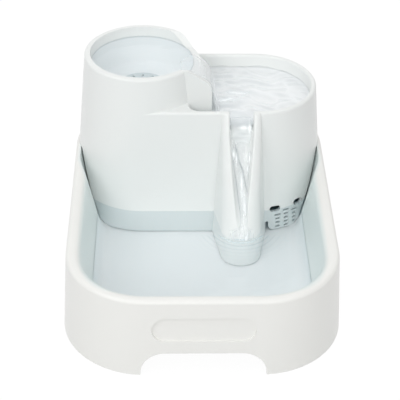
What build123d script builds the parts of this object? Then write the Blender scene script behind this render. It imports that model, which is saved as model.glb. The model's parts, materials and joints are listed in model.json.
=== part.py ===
from build123d import *
import os
from functools import cache
from math import atan, cos, degrees, radians, sin, tan

# A pet water fountain: a wide moulded bowl on four corner feet, and a tower that stands in the
# back of it. A small pump lifts the water into the tower's round cup. It runs over a lip into a
# lower tray and down a chute, back into the bowl.
# Millimetres. The origin is on the ground under the middle of the bowl, +X is to the viewer's
# right, +Y runs from the drinking side to the back, +Z is up.

# ---- driving dimensions: bowl ------------------------------------------------------------------
RIM_WIDTH = 220.0  # outer width of the rim
RIM_LENGTH = 294.0  # outer length of the rim, front to back
RIM_HEIGHT = 71.5  # crown of the rim above the ground
RIM_CORNER = 65.0  # plan radius of the rim's outer corners
SIDE_BREADTH = 11.0  # rim's outer edge to inner edge, along the drinking hollow's sides
END_BREADTH = 9.5  # the same, at its two ends
BASIN_CORNER = 54.0  # plan radius of the hollow's corners, at the rim's height
RIM_DEPTH = 6.0  # least solid depth below the crown
GROOVE_BREADTH = 0.8  # least gap under it, between the skirt and the basin's wall
CROWN_RADIUS = 3.3  # rounding of the rim's outer edge
INNER_CROWN = 6.0  # rounding of its inner edge
SKIRT_FLARE = 4.2  # how far the skirt spreads from rim to ground
SKIRT_WALL = 3.0
BASIN_WALL = 2.8
FLOOR_TOP = 11.0  # drinking floor above the ground
FLOOR_THICKNESS = 2.5
FLOOR_CORNER = 8.0  # rounding between floor and walls
BASIN_LEAN = 13.0  # how far each wall leans in from rim to floor
WELL_BREADTH = 4.2  # rim beside the tower, where the hollow widens to a well for it
WELL_END_BREADTH = 7.5  # rim behind the tower
WELL_START = 62.1  # ahead of the tower's axes: the rim begins to narrow there
WELL_FULL = 37.1  # ahead of the tower's axes: the well has its full width there
WELL_BEND = 60.0  # plan radius where the well's wall turns straight
WELL_CORNER = 57.0  # plan radius of its back corners
ARCH_HEIGHT = 21.5
ARCH_CORNER = 19.5
FRONT_ARCH = 100.0  # width of the front and rear arches
SIDE_ARCH = 130.0  # width of the two side arches
PLAQUE_LENGTH = 82.0  # bare pill-shaped recess in the front skirt
PLAQUE_HEIGHT = 22.3
PLAQUE_LEVEL = 44.2
PLAQUE_DEPTH = 1.7

# ---- driving dimensions: tower -----------------------------------------------------------------
TOWER_RADIUS = 57.7  # outer radius of both rounded ends, at the rim's height
TOWER_DRAFT = 4.9  # degrees that all outer walls lean in
TOWER_WALL = 3.0
RIM_LEDGE = 2.2  # rim left bare outside the tower
SEAT_GAP = 0.3  # tower above the rim it rests on
BASIN_GAP = 1.2  # tower's lower wall to the basin
SKIRT_DROP = 19.0  # how far the locating skirt hangs into the basin
SKIRT_START = 29.1  # ahead of the tower's axes: the wall reaches the floor up to there
TRAY_ABOVE_RIM = 57.5  # tray rim above bowl rim
TRAY_DEPTH = 17.0
TRAY_RIM_WALL = 4.5
TRAY_START = 41.1  # cup centre to the left end of the tray's hollow
TRAY_CORNER = 9.0
DECK = 3.0  # thickness of the tray floor and the cup floor
CUP_ABOVE_TRAY = 30.5  # cup rim above tray rim
CUP_DEPTH = 35.5
CUP_RIM_WALL = 4.9
CUP_CORNER = 3.0
CROWN = 2.2  # rounding of the cup and tray rims
HOLLOW_DRAFT = 2.0  # degrees that the cup and tray walls lean in
LIP_DROP = 9.9  # overflow lip below the cup rim
LIP_ROOT = 25.0  # cup centre to where the lip springs from
LIP_REACH = 60.0  # cup centre to the lip's outer face
LIP_ROUND = 12.0
LIP_FRONT = 35.1  # cup centre to the lip's front side
LIP_BACK = 24.9  # cup centre to the lip's back side
LIP_CORNER = 29.0
CHEEK_WALL = 2.6  # upright wall on the lip's front side
CHEEK_SLOPE = 31.7  # degrees that its top edge falls
CHEEK_START = 39.0  # cup centre to where its top edge begins to fall
CHEEK_ROUND = 3.0
NOTCH_BACK = 38.0  # cup centre to the back end of the notch, at the cup rim
CORD_NOTCH = 9.0  # width of the notch where the pump's cord leaves at the back
CORD_NOTCH_RISE = 8.0

# ---- driving dimensions: chute and grille ------------------------------------------------------
CHUTE_INSET = 15.1  # right end's centre to the chute's middle
CHUTE_HALF = 16.5  # half width of its front face at the tray's rim
CHUTE_FOOT_HALF = 14.5  # the same at the floor
CHUTE_FLANK = 0.18  # sideways spread of the flanks, per length towards the tower
CHUTE_PROUD = 1.5  # how far its head stands out from the tray rim
CHUTE_REACH = 61.5  # front of the foot, ahead of the tray's front rim
CHUTE_HEAD_ROUND = 5.0
CHUTE_FOOT_ROUND = 16.5
CHUTE_SEAM = 0.5  # the chute's node ends this far ahead of the tower's front wall
CHANNEL_HALF = 10.2
CHANNEL_END_HALF = 3.5
CHANNEL_END = 35.0  # height where the channel runs out into the face
CHANNEL_CROWN = 1.5  # rounding of the channel's edges
GRILLE_ANGLES = (-71.5, -63.8, -55.8)  # degrees about the right end's axis, one per column
GRILLE_COUNTS = (4, 5, 4)  # slots in each column
GRILLE_TOPS = (26.4, 29.8, 27.6)  # height of each column's first slot
GRILLE_PITCH = 3.9
TOP_SLOT_LENGTH = 6.4  # the first slot of a column is the longest
SLOT_LENGTH = 4.6
SLOT_WIDTH = 1.8
PORT_LENGTH = 10.0
PORT_WIDTH = 5.8
PORTS = ((-73.9, 33.1), (-51.6, 33.8))  # angle and height of the two oval ports
SLIT_BREADTH = 2.6  # upright slit between the chute's right flank and the grille
SLIT_TOP = 21.0
SLIT_CORNER = 5.0  # rounding of the grille wall's lower corner at the slit

# ---- driving dimensions: water path and pump ---------------------------------------------------
DISC_RADIUS = 22.0
DISC_THICKNESS = 2.2
DISC_SLOTS = 12
OUTLET_BORE = 8.5
SPIGOT_DIAMETER = 12.0
SPIGOT_LENGTH = 12.0
RISER_DIAMETER = 16.0
RISER_OVERLAP = 12.0  # riser over the pump's nozzle
NOZZLE_DIAMETER = 11.4
NOZZLE_BORE = 7.5
NOZZLE_TOP = 75.0
FOOT_HEIGHT = 5.0
FOOT_RADIUS = 6.0
FOOT_SPACING_X = 14.0
FOOT_SPACING_Y = 20.0
FOOT_PIN = 2.0
MOTOR_LENGTH = 26.0
MOTOR_WIDTH = 34.0
MOTOR_HEIGHT = 38.0
MOTOR_CORNER = 4.0
MOTOR_WALL = 1.8
MOTOR_FRONT_WALL = 5.0
AXIS_RISE = 25.0  # shaft above the pump's base
VOLUTE_LENGTH = 12.0
VOLUTE_RADIUS = 17.0
VOLUTE_BORE = 14.0
WELL_BORE = 8.0
WELL_DEPTH = 22.5
WELL_WALL = 1.2
MAGNET_RADIUS = 7.2
MAGNET_LENGTH = 18.5
SLEEVE_RADIUS = 2.2
SHAFT_RADIUS = 1.0
RUNNING_GAP = 0.05
AXIAL_PLAY = 0.4
BLADE_RADIUS = 12.5
BLADE_LENGTH = 9.5
BLADE_THICKNESS = 1.4
BLADES = 6
BUSH_RADIUS = 2.8
SEAL_THICKNESS = 1.2
SEAL_BREADTH = 1.5
VOLUTE_COVER_THICKNESS = 4.0
INTAKE_RADIUS = 7.5
CORE_THICKNESS = 12.0
CORE_ARM = 5.0
COIL_MARGIN = 3.2
GLAND_HEIGHT = 8.0
GLAND_RADIUS = 4.2
GLAND_TIP = 2.8
GLAND_BORE = 1.7

# ---- driving dimensions: intake cover, dial and filter -----------------------------------------
COVER_GAP = 0.3
COVER_WALL = 1.8
COVER_LENGTH = 17.7
COVER_SLOTS = 10
DIAL_RADIUS = 10.0
DIAL_THICKNESS = 2.4
DIAL_PIN = 2.0
DIAL_HEAD = 2.9
DIAL_PORTS = 3
SPONGE_BORE = 3.9  # clear of the head behind the dial
FILTER_INSET = 28.1  # right end's centre to the filter's middle, across
FILTER_FORWARD = 7.1  # right end's centre to the filter's middle, towards the drinking side
FILTER_THICKNESS = 14.0
FILTER_WIDTH = 70.0
FILTER_HEIGHT = 54.0
FILTER_WALL = 1.6
FILTER_BARS = 6
CARBON_THICKNESS = 6.0
TAB_HEIGHT = 3.5
TAB_WIDTH = 18.0
RACK_HEIGHT = 36.0
RACK_WALL = 2.0
RACK_GRIP = 3.0
RACK_GAP = 0.3

# ---- places worked out from them ---------------------------------------------------------------
END_X = RIM_WIDTH / 2 - RIM_LEDGE - TOWER_RADIUS  # the two rounded ends are at -END_X and END_X
TOWER_Y = RIM_LENGTH / 2 - RIM_LEDGE - TOWER_RADIUS
SKIRT_LINE = TOWER_Y - SKIRT_START
BASIN_SLOPE = BASIN_LEAN / (RIM_HEIGHT - FLOOR_TOP)
SKIRT_SLOPE = SKIRT_FLARE / RIM_HEIGHT
WALLS_PART = (SKIRT_WALL + BASIN_WALL + GROOVE_BREADTH - WELL_BREADTH) / (BASIN_SLOPE + SKIRT_SLOPE)
GROOVE_TOP = RIM_HEIGHT - max(RIM_DEPTH, WALLS_PART)
TRAY_LEFT = -END_X + TRAY_START
LIP_LEFT = -END_X + LIP_ROOT
CHUTE_X = END_X - CHUTE_INSET
FILTER_X = END_X - FILTER_INSET
FILTER_Y = TOWER_Y - FILTER_FORWARD
TRAY_RIM = RIM_HEIGHT + TRAY_ABOVE_RIM
TRAY_FLOOR = TRAY_RIM - TRAY_DEPTH
CUP_RIM = TRAY_RIM + CUP_ABOVE_TRAY
CUP_FLOOR = CUP_RIM - CUP_DEPTH
LIP_LEVEL = CUP_RIM - LIP_DROP
BEYOND = 20.0  # how far cutting tools run past what they cut
OVERLAP = 1.0  # how far joined forms run into each other
PUMP_BASE = FLOOR_TOP + FOOT_HEIGHT
AXIS_Z = PUMP_BASE + AXIS_RISE
VOLUTE_BACK = -END_X - VOLUTE_LENGTH / 2
VOLUTE_FRONT = -END_X + VOLUTE_LENGTH / 2
MOTOR_BACK = VOLUTE_BACK - MOTOR_LENGTH
WELL_END = VOLUTE_BACK - WELL_DEPTH
COVER_PLATE_FRONT = VOLUTE_FRONT + VOLUTE_COVER_THICKNESS
DRUM_BACK = VOLUTE_FRONT + COVER_GAP
DRUM_FRONT = DRUM_BACK + COVER_LENGTH
DRUM_BORE = VOLUTE_RADIUS + COVER_GAP

LOW = (Align.CENTER, Align.CENTER, Align.MIN)


# ---- shapes that several pieces share ----------------------------------------------------------
def block(x0, x1, y0, y1, z0, z1):
    """A plain box between two corners."""
    return Pos(x0, y0, z0) * Box(x1 - x0, y1 - y0, z1 - z0, align=(Align.MIN, Align.MIN, Align.MIN))


def rod(x0, x1, radius, y=TOWER_Y, z=AXIS_Z):
    """A cylinder along X, on the pump's axis unless another is given."""
    return Pos(x0, y, z) * Rot(0, 90, 0) * Cylinder(radius, x1 - x0, align=LOW)


def post(x, y, z0, z1, radius):
    """An upright cylinder."""
    return Pos(x, y, z0) * Cylinder(radius, z1 - z0, align=LOW)


def edges_at(solid, height):
    """The edges that lie flat at one height."""
    near = 0.01
    return [e for e in solid.edges() if abs(e.bounding_box().min.Z - height) < near
            and abs(e.bounding_box().max.Z - height) < near]


# ---- bowl --------------------------------------------------------------------------------------
def hollow(plan, inset, floor, top):
    """A hollow with leaning walls and a rounded floor edge, from its plan at the rim's height."""
    drawn_in = offset(plan, -inset - BASIN_SLOPE * (RIM_HEIGHT - floor))
    body = extrude(Pos(0, 0, floor) * drawn_in, top - floor, taper=-degrees(atan(BASIN_SLOPE)))
    return fillet(edges_at(body, floor), FLOOR_CORNER)


def drinking_hollow(inset, floor, top):
    """The drinking hollow as a solid, drawn in by an inset."""
    plan = RectangleRounded(RIM_WIDTH - 2 * SIDE_BREADTH, RIM_LENGTH - 2 * END_BREADTH, BASIN_CORNER)
    return hollow(plan, inset, floor, top)


def tower_well(inset, floor, top):
    """The wider back part of the hollow, where the rim narrows and the tower goes in."""
    wide = RIM_WIDTH / 2 - WELL_BREADTH
    back = RIM_LENGTH / 2 - WELL_END_BREADTH
    start = TOWER_Y - WELL_START
    full = TOWER_Y - WELL_FULL
    spread = (SIDE_BREADTH - WELL_BREADTH) / (full - start)
    front = start - 2 * BEYOND
    narrow = wide - spread * (full - front)
    outline = Polyline(
        (-narrow, front), (narrow, front), (wide, full), (wide, back), (-wide, back), (-wide, full),
        close=True,
    )
    plan = make_face(outline)
    plan = fillet([v for v in plan.vertices() if abs(v.Y - full) < 0.01], WELL_BEND)
    plan = fillet(plan.vertices().group_by(Axis.Y)[-1], WELL_CORNER)
    return hollow(plan, inset, floor, top)


def basin(inset, floor, top):
    """The whole inside of the bowl, drawn in by an inset: also trims what stands in it."""
    return drinking_hollow(inset, floor, top) + tower_well(inset, floor, top)


def skirt(inset, top):
    """The outside of the bowl, from the ground up, drawn in by an inset."""
    grow = SKIRT_FLARE - inset
    plan = RectangleRounded(RIM_WIDTH + 2 * grow, RIM_LENGTH + 2 * grow, RIM_CORNER + grow)
    return extrude(plan, top, taper=degrees(atan(SKIRT_SLOPE)))


def arch(width, plane, start):
    """A cutter for the arch between two feet, through one side of the skirt."""
    opening = plane * RectangleRounded(width, 2 * ARCH_HEIGHT, ARCH_CORNER)
    return Pos(start) * extrude(opening, BEYOND + SIDE_BREADTH)


def plaque():
    """A cutter for the pill-shaped recess, square to the leaning front skirt."""
    face = -RIM_LENGTH / 2 - SKIRT_FLARE + SKIRT_SLOPE * PLAQUE_LEVEL
    front = Plane(origin=(0, face, PLAQUE_LEVEL), x_dir=(1, 0, 0), z_dir=(0, -1, SKIRT_SLOPE))
    pill = front * SlotOverall(PLAQUE_LENGTH, PLAQUE_HEIGHT)
    return extrude(pill, PLAQUE_DEPTH, both=True)


def make_bowl():
    body = skirt(0, RIM_HEIGHT) - drinking_hollow(0, FLOOR_TOP, RIM_HEIGHT + BEYOND)
    body = fillet(body.faces().sort_by(Axis.Z)[-1].outer_wire().edges(), CROWN_RADIUS)
    body = fillet(body.faces().sort_by(Axis.Z)[-1].inner_wires()[0].edges(), INNER_CROWN)
    body -= tower_well(0, FLOOR_TOP, RIM_HEIGHT + BEYOND)
    under = skirt(SKIRT_WALL, GROOVE_TOP)
    under -= basin(-BASIN_WALL, FLOOR_TOP - FLOOR_THICKNESS, RIM_HEIGHT)
    body -= under
    half_length = RIM_LENGTH / 2 - SIDE_BREADTH
    half_width = RIM_WIDTH / 2 - SIDE_BREADTH
    body -= arch(FRONT_ARCH, Plane.XZ, (0, -half_length, 0))
    body -= arch(FRONT_ARCH, Plane.XZ.offset(-BEYOND - SIDE_BREADTH), (0, half_length, 0))
    body -= arch(SIDE_ARCH, Plane.YZ, (half_width, 0, 0))
    body -= arch(SIDE_ARCH, Plane.YZ.offset(-BEYOND - SIDE_BREADTH), (-half_width, 0, 0))
    return body - plaque()


# ---- tower: outer forms ------------------------------------------------------------------------
def tower_radius(z):
    """Outer radius of the tower's rounded ends at a height."""
    return TOWER_RADIUS - (z - RIM_HEIGHT) * tan(radians(TOWER_DRAFT))


def tower_front(z):
    """Where the tower's flat front face lies at a height."""
    return TOWER_Y - tower_radius(z)


def stadium(z0, z1, inset=0.0):
    """The tower's body: two leaning round ends joined by flat walls."""
    plan = SlotCenterToCenter(2 * END_X, 2 * (tower_radius(z0) - inset))
    return extrude(Pos(0, TOWER_Y, z0) * plan, z1 - z0, taper=TOWER_DRAFT)


def cup_cone(z0, z1, inset=0.0):
    """The left round end, carried on up past the tray to form the cup."""
    cone = Cone(tower_radius(z0) - inset, tower_radius(z1) - inset, z1 - z0, align=LOW)
    return Pos(-END_X, TOWER_Y, z0) * cone


def chute_front(z):
    """Where the chute's front face lies at a height: a straight slope from head to foot."""
    head = tower_front(TRAY_RIM) - CHUTE_PROUD
    foot = tower_front(TRAY_RIM) - CHUTE_REACH
    return foot + (head - foot) * (z - FLOOR_TOP) / (TRAY_RIM - FLOOR_TOP)


def chute_half(z):
    """Half width of the chute's front face at a height."""
    return CHUTE_FOOT_HALF + (CHUTE_HALF - CHUTE_FOOT_HALF) * (z - FLOOR_TOP) / (TRAY_RIM - FLOOR_TOP)


def chute_section(z, corner, inset=0.0):
    """A level cut of the chute: flat front, rounded corners, flanks that spread backwards."""
    back = SKIRT_LINE
    front = chute_front(z) + inset
    half = chute_half(z) - inset
    wide = half + CHUTE_FLANK * (back - front)
    outline = Polyline(
        (CHUTE_X - wide, back, z),
        (CHUTE_X - half, front, z),
        (CHUTE_X + half, front, z),
        (CHUTE_X + wide, back, z),
        close=True,
    )
    face = make_face(outline)
    return fillet(face.vertices().sort_by(Axis.Y)[:2], corner)


def chute_body(top, inset=0.0):
    """The chute from the floor to a height, drawn in by an inset."""
    foot = chute_section(FLOOR_TOP, CHUTE_FOOT_ROUND - inset, inset)
    head = chute_section(top, CHUTE_HEAD_ROUND - inset, inset)
    return loft([foot, head], ruled=True)


def channel_section(z, half, back):
    """A level cut of the channel: a round-backed slot that is open to the front."""
    front = chute_front(FLOOR_TOP) - BEYOND
    left = CHUTE_X - half
    right = CHUTE_X + half
    straight = back - half
    outline = Curve() + [
        Line((left, front, z), (left, straight, z)),
        ThreePointArc((left, straight, z), (CHUTE_X, back, z), (right, straight, z)),
        Line((right, straight, z), (right, front, z)),
        Line((right, front, z), (left, front, z)),
    ]
    return make_face(outline)


def channel(outset=0.0):
    """The channel's sloping length, from the tray floor to where it runs out into the face."""
    head = TOWER_Y - tower_radius(TRAY_RIM) + TRAY_RIM_WALL
    foot = chute_front(CHANNEL_END)
    upper = channel_section(TRAY_FLOOR, CHANNEL_HALF + outset, head + outset)
    lower = channel_section(CHANNEL_END, CHANNEL_END_HALF + outset, foot + outset)
    return loft([lower, upper], ruled=True)


def channel_mouth():
    """The channel's upright top, where it opens through the tray's front wall."""
    return block(
        CHUTE_X - CHANNEL_HALF,
        CHUTE_X + CHANNEL_HALF,
        chute_front(FLOOR_TOP) - BEYOND,
        SKIRT_LINE,
        TRAY_FLOOR,
        TRAY_RIM + BEYOND,
    )


def channel_edges(body):
    """The edges where the channel breaks out through the chute's front face."""
    found = []
    for edge in body.edges():
        box = edge.bounding_box()
        inside = CHUTE_X - CHANNEL_HALF - 0.1 < box.min.X and box.max.X < CHUTE_X + CHANNEL_HALF + 0.1
        behind = TOWER_Y - tower_radius(TRAY_RIM) + CROWN
        if inside and box.max.Y < behind and box.size.Z > CHANNEL_HALF and on_chute_front(edge):
            found.append(edge)
    return found


def on_chute_front(edge):
    """Whether an edge lies on the chute's sloping front face."""
    middle = edge @ 0.5
    return abs(middle.Y - chute_front(middle.Z)) < 0.1


def tray_hollow():
    """The tray's hollow, wider at the top, ending in two round corners beside the cup."""
    radius = tower_radius(TRAY_RIM) - TRAY_RIM_WALL - TRAY_DEPTH * tan(radians(HOLLOW_DRAFT))
    right_part = Pos(TRAY_LEFT, 0) * Rectangle(
        2 * RIM_WIDTH, RIM_LENGTH, align=(Align.MIN, Align.CENTER)
    )
    plan = SlotCenterToCenter(2 * END_X, 2 * radius) & right_part
    corners = [v for v in plan.vertices() if abs(v.X - TRAY_LEFT) < 0.01]
    plan = fillet(corners, TRAY_CORNER)
    rise = TRAY_DEPTH + BEYOND
    return extrude(Pos(0, TOWER_Y, TRAY_FLOOR) * plan, rise, taper=-HOLLOW_DRAFT)


def cup_hollow():
    """The cup's hollow."""
    grow = tan(radians(HOLLOW_DRAFT))
    radius = tower_radius(CUP_RIM) - CUP_RIM_WALL
    top = CUP_RIM + BEYOND
    cone = Cone(radius - CUP_DEPTH * grow, radius + BEYOND * grow, top - CUP_FLOOR, align=LOW)
    cone = fillet(edges_at(cone, 0), CUP_CORNER)
    return Pos(-END_X, TOWER_Y, CUP_FLOOR) * cone


def lip_plan(inset=0.0):
    """The overflow lip seen from above: square at the front, with a wide round back corner."""
    x1 = -END_X + LIP_REACH - inset
    y0 = TOWER_Y - LIP_FRONT + inset
    y1 = TOWER_Y + LIP_BACK - inset
    plan = make_face(Polyline((LIP_LEFT, y0), (x1, y0), (x1, y1), (LIP_LEFT, y1), close=True))
    corner = plan.vertices().sort_by(Axis.X)[-2:].sort_by(Axis.Y)[-1]
    return fillet(corner, LIP_CORNER - inset)


def lip_block(bottom, top, inset=0.0):
    """The lip as a solid, rounded over on its outer edges and square on its front side."""
    body = extrude(Pos(0, 0, bottom) * lip_plan(inset), top - bottom)
    front = TOWER_Y - LIP_FRONT + inset
    rounded = [e for e in edges_at(body, top)
               if e.center().Y > front + 0.01 and e.center().X > LIP_LEFT + 0.01]
    return fillet(rounded, LIP_ROUND - inset)


def cheek():
    """The upright wall on the lip's front side, its top edge falling from the cup rim."""
    x0 = LIP_LEFT
    x1 = -END_X + LIP_REACH
    start = -END_X + CHEEK_START
    outer = CUP_RIM - (x1 - start) * tan(radians(CHEEK_SLOPE))
    outline = Polyline(
        (x0, TRAY_RIM), (x1, TRAY_RIM), (x1, outer), (start, CUP_RIM), (x0, CUP_RIM), close=True
    )
    side = make_face(outline)
    outer_corner = side.vertices().sort_by_distance((x1, outer, 0))[0]
    side = fillet(outer_corner, LIP_ROUND)
    start_corner = side.vertices().sort_by_distance((start, CUP_RIM, 0))[0]
    side = fillet(start_corner, CHEEK_ROUND)
    upright = Plane(origin=(0, TOWER_Y - LIP_FRONT, 0), x_dir=(1, 0, 0), z_dir=(0, -1, 0))
    return extrude(upright * side, -CHEEK_WALL)


def lip_notch():
    """A cutter that opens the cup's wall above the lip, with a sloping back end."""
    y0 = TOWER_Y - LIP_FRONT + CHEEK_WALL
    y1 = TOWER_Y + LIP_BACK
    y2 = TOWER_Y + NOTCH_BACK
    rise = CUP_RIM - LIP_LEVEL
    outline = Polyline(
        (y0, LIP_LEVEL),
        (y1, LIP_LEVEL),
        (y2, CUP_RIM),
        (y2 + (y2 - y1) * BEYOND / rise, CUP_RIM + BEYOND),
        (y0, CUP_RIM + BEYOND),
        close=True,
    )
    across = Plane(origin=(LIP_LEFT, 0, 0), x_dir=(0, 1, 0), z_dir=(1, 0, 0))
    return extrude(across * make_face(outline), LIP_REACH)


# ---- tower: cuts -------------------------------------------------------------------------------
def standing_room():
    """Where the tower may be: inside the basin, and all the space above the rim."""
    seat = RIM_HEIGHT + SEAT_GAP
    room = basin(BASIN_GAP, FLOOR_TOP + BASIN_GAP, seat + OVERLAP)
    return room + block(-RIM_WIDTH, RIM_WIDTH, -RIM_LENGTH, RIM_LENGTH, seat, CUP_RIM + BEYOND)


def hollow_room():
    """Where the tower's inside may be: the same space, one wall further in."""
    seat = RIM_HEIGHT + SEAT_GAP + TOWER_WALL
    room = basin(BASIN_GAP + TOWER_WALL, FLOOR_TOP + BASIN_GAP, seat + OVERLAP)
    return room + block(-RIM_WIDTH, RIM_WIDTH, -RIM_LENGTH, RIM_LENGTH, seat, CUP_RIM + BEYOND)


def tower_inside():
    """The inside of the tower: under the tray, the cup, the lip and the chute."""
    deck = TRAY_FLOOR - DECK
    inside = stadium(FLOOR_TOP, deck, TOWER_WALL)
    inside += cup_cone(FLOOR_TOP, CUP_FLOOR - DECK, TOWER_WALL)
    inside += chute_body(deck, TOWER_WALL) & block(
        -RIM_WIDTH, RIM_WIDTH, -RIM_LENGTH, RIM_LENGTH, 0, deck
    )
    under_lip = lip_block(deck - OVERLAP, LIP_LEVEL - TOWER_WALL, TOWER_WALL)
    cup_wall = post(-END_X, TOWER_Y, CUP_FLOOR - DECK, CUP_RIM, tower_radius(CUP_RIM))
    inside += under_lip - cup_wall
    return (inside & hollow_room()) - channel(TOWER_WALL)


def under_skirt():
    """A cutter that ends the back and side walls a little way down the basin."""
    return block(
        -RIM_WIDTH, RIM_WIDTH, SKIRT_LINE, RIM_LENGTH, 0, RIM_HEIGHT + SEAT_GAP - SKIRT_DROP
    )


def through_wall(angle, height, shape):
    """A cutter through the right round end, square to its wall at an angle and height."""
    toward = Vector(cos(radians(angle)), sin(radians(angle)), 0)
    centre = Vector(END_X, TOWER_Y, height) + toward * (tower_radius(height) - BEYOND / 2)
    return extrude(Plane(origin=centre, x_dir=(-toward.Y, toward.X, 0), z_dir=toward) * shape, BEYOND)


def grille():
    """Cutters for the water intake: three columns of slots under two oval ports."""
    cutters = []
    for angle, count, top in zip(GRILLE_ANGLES, GRILLE_COUNTS, GRILLE_TOPS):
        for row in range(count):
            length = SLOT_LENGTH if row else TOP_SLOT_LENGTH
            slot = SlotOverall(length, SLOT_WIDTH)
            cutters.append(through_wall(angle, top - row * GRILLE_PITCH, slot))
    for angle, height in PORTS:
        cutters.append(through_wall(angle, height, SlotOverall(PORT_LENGTH, PORT_WIDTH)))
    return cutters


def chute_slit():
    """A cutter for the slit beside the chute's right flank, and the round corner next to it."""
    front = tower_front(FLOOR_TOP) - TOWER_WALL
    back = front + 3 * TOWER_WALL
    reach = tower_front(FLOOR_TOP) - chute_front(FLOOR_TOP)
    left = CHUTE_X + chute_half(FLOOR_TOP) + CHUTE_FLANK * reach
    right = left + SLIT_BREADTH
    slit = block(left, right, front, back, 0, SLIT_TOP)
    slit = fillet(slit.edges().filter_by(Axis.Y).group_by(Axis.Z)[-1], SLIT_BREADTH * 0.4)
    base = FLOOR_TOP + BASIN_GAP + SLIT_CORNER
    corner = block(right, right + SLIT_CORNER, front, back, 0, base)
    round_part = Pos(right + SLIT_CORNER, front, base) * Rot(-90, 0, 0)
    corner -= round_part * Cylinder(SLIT_CORNER, back - front, align=LOW)
    return slit + corner


def cord_notch():
    """A cutter for the round-topped notch where the pump's cord leaves at the back."""
    seat = RIM_HEIGHT + SEAT_GAP
    centre = seat + CORD_NOTCH_RISE - CORD_NOTCH / 2
    y0 = TOWER_Y + tower_radius(RIM_HEIGHT) / 2
    across = Pos(0, y0, centre) * Rot(-90, 0, 0) * Cylinder(CORD_NOTCH / 2, RIM_LENGTH, align=LOW)
    half = CORD_NOTCH / 2
    return across + block(-half, half, y0, y0 + RIM_LENGTH, seat - SKIRT_DROP - OVERLAP, centre)


@cache
def tower_moulding():
    """The whole moulding: tower and chute in one."""
    stand = stadium(FLOOR_TOP, TRAY_RIM)
    stand = fillet(edges_at(stand, TRAY_RIM), CROWN)
    ramp = chute_body(TRAY_RIM)
    top_edges = [e for e in edges_at(ramp, TRAY_RIM) if e.center().Y < SKIRT_LINE - OVERLAP]
    ramp = fillet(top_edges, CROWN)
    body = stand + ramp - tray_hollow()
    body = fillet([e for e in edges_at(body, TRAY_RIM) if e.center().X > TRAY_LEFT], CROWN)
    body -= channel_mouth()
    body -= channel()
    body = fillet(channel_edges(body), CHANNEL_CROWN)
    cup = cup_cone(FLOOR_TOP, CUP_RIM)
    cup = fillet(edges_at(cup, CUP_RIM), CROWN)
    body += cup
    body += lip_block(TRAY_FLOOR - OVERLAP, LIP_LEVEL)
    body += cheek()
    body -= cup_hollow()
    body -= lip_notch()
    body -= tower_inside()
    body &= standing_room()
    body -= under_skirt()
    body -= grille()
    body -= chute_slit()
    body -= cord_notch()
    body += post(-END_X, TOWER_Y, CUP_FLOOR - DECK - SPIGOT_LENGTH, CUP_FLOOR - DECK, SPIGOT_DIAMETER / 2)
    body -= post(-END_X, TOWER_Y, CUP_FLOOR - BEYOND, CUP_FLOOR + OVERLAP, OUTLET_BORE / 2)
    return body


def ahead_of_wall():
    """All the space ahead of the tower's leaning front wall, where only the chute is."""
    top = CUP_RIM + BEYOND
    outline = Polyline(
        (-RIM_LENGTH, 0),
        (tower_front(0) - CHUTE_SEAM, 0),
        (tower_front(top) - CHUTE_SEAM, top),
        (-RIM_LENGTH, top),
        close=True,
    )
    across = Plane(origin=(-RIM_WIDTH, 0, 0), x_dir=(0, 1, 0), z_dir=(1, 0, 0))
    return extrude(across * make_face(outline), 2 * RIM_WIDTH)


def make_tower():
    return tower_moulding() - ahead_of_wall()


def make_chute():
    return tower_moulding() & ahead_of_wall()


def make_outlet_disc():
    """The dark slotted disc in the cup floor, plugged into the spigot's bore."""
    disc = post(-END_X, TOWER_Y, CUP_FLOOR, CUP_FLOOR + DISC_THICKNESS, DISC_RADIUS)
    disc = fillet(edges_at(disc, CUP_FLOOR + DISC_THICKNESS), DISC_THICKNESS / 3)
    disc += post(-END_X, TOWER_Y, CUP_FLOOR - DECK, CUP_FLOOR, OUTLET_BORE / 2)
    slot = Pos(DISC_RADIUS * 0.62, 0) * SlotOverall(DISC_RADIUS * 0.42, DISC_THICKNESS)
    slots = Sketch() + [turn * slot for turn in PolarLocations(0, DISC_SLOTS)]
    disc -= Pos(-END_X, TOWER_Y, CUP_FLOOR) * extrude(slots, DISC_THICKNESS)
    disc -= post(-END_X, TOWER_Y, CUP_FLOOR - BEYOND, CUP_RIM, OUTLET_BORE / 2 - DISC_THICKNESS / 2)
    return disc


def make_riser_tube():
    """The silicone tube from the pump's nozzle up to the cup's spigot."""
    bottom = NOZZLE_TOP - RISER_OVERLAP
    top = CUP_FLOOR - DECK
    tube = post(-END_X, TOWER_Y, bottom, top, RISER_DIAMETER / 2)
    return tube - post(-END_X, TOWER_Y, bottom, top, SPIGOT_DIAMETER / 2)


# ---- pump --------------------------------------------------------------------------------------
def foot_places():
    """The four corners of the pump's base where its feet stand."""
    middle = MOTOR_BACK + MOTOR_LENGTH / 2 + FOOT_HEIGHT / 2
    return [
        (middle + i * FOOT_SPACING_X / 2, TOWER_Y + j * FOOT_SPACING_Y / 2)
        for i in (-1, 1)
        for j in (-1, 1)
    ]


def motor_pocket():
    """The pocket behind the rotor well that holds the stator, open at the back."""
    pocket = block(
        MOTOR_BACK,
        VOLUTE_BACK - MOTOR_FRONT_WALL,
        TOWER_Y - MOTOR_WIDTH / 2 + MOTOR_WALL,
        TOWER_Y + MOTOR_WIDTH / 2 - MOTOR_WALL,
        PUMP_BASE + MOTOR_WALL,
        PUMP_BASE + MOTOR_HEIGHT - MOTOR_WALL,
    )
    return pocket - rod(WELL_END - WELL_WALL, VOLUTE_BACK, WELL_BORE + WELL_WALL)


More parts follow.
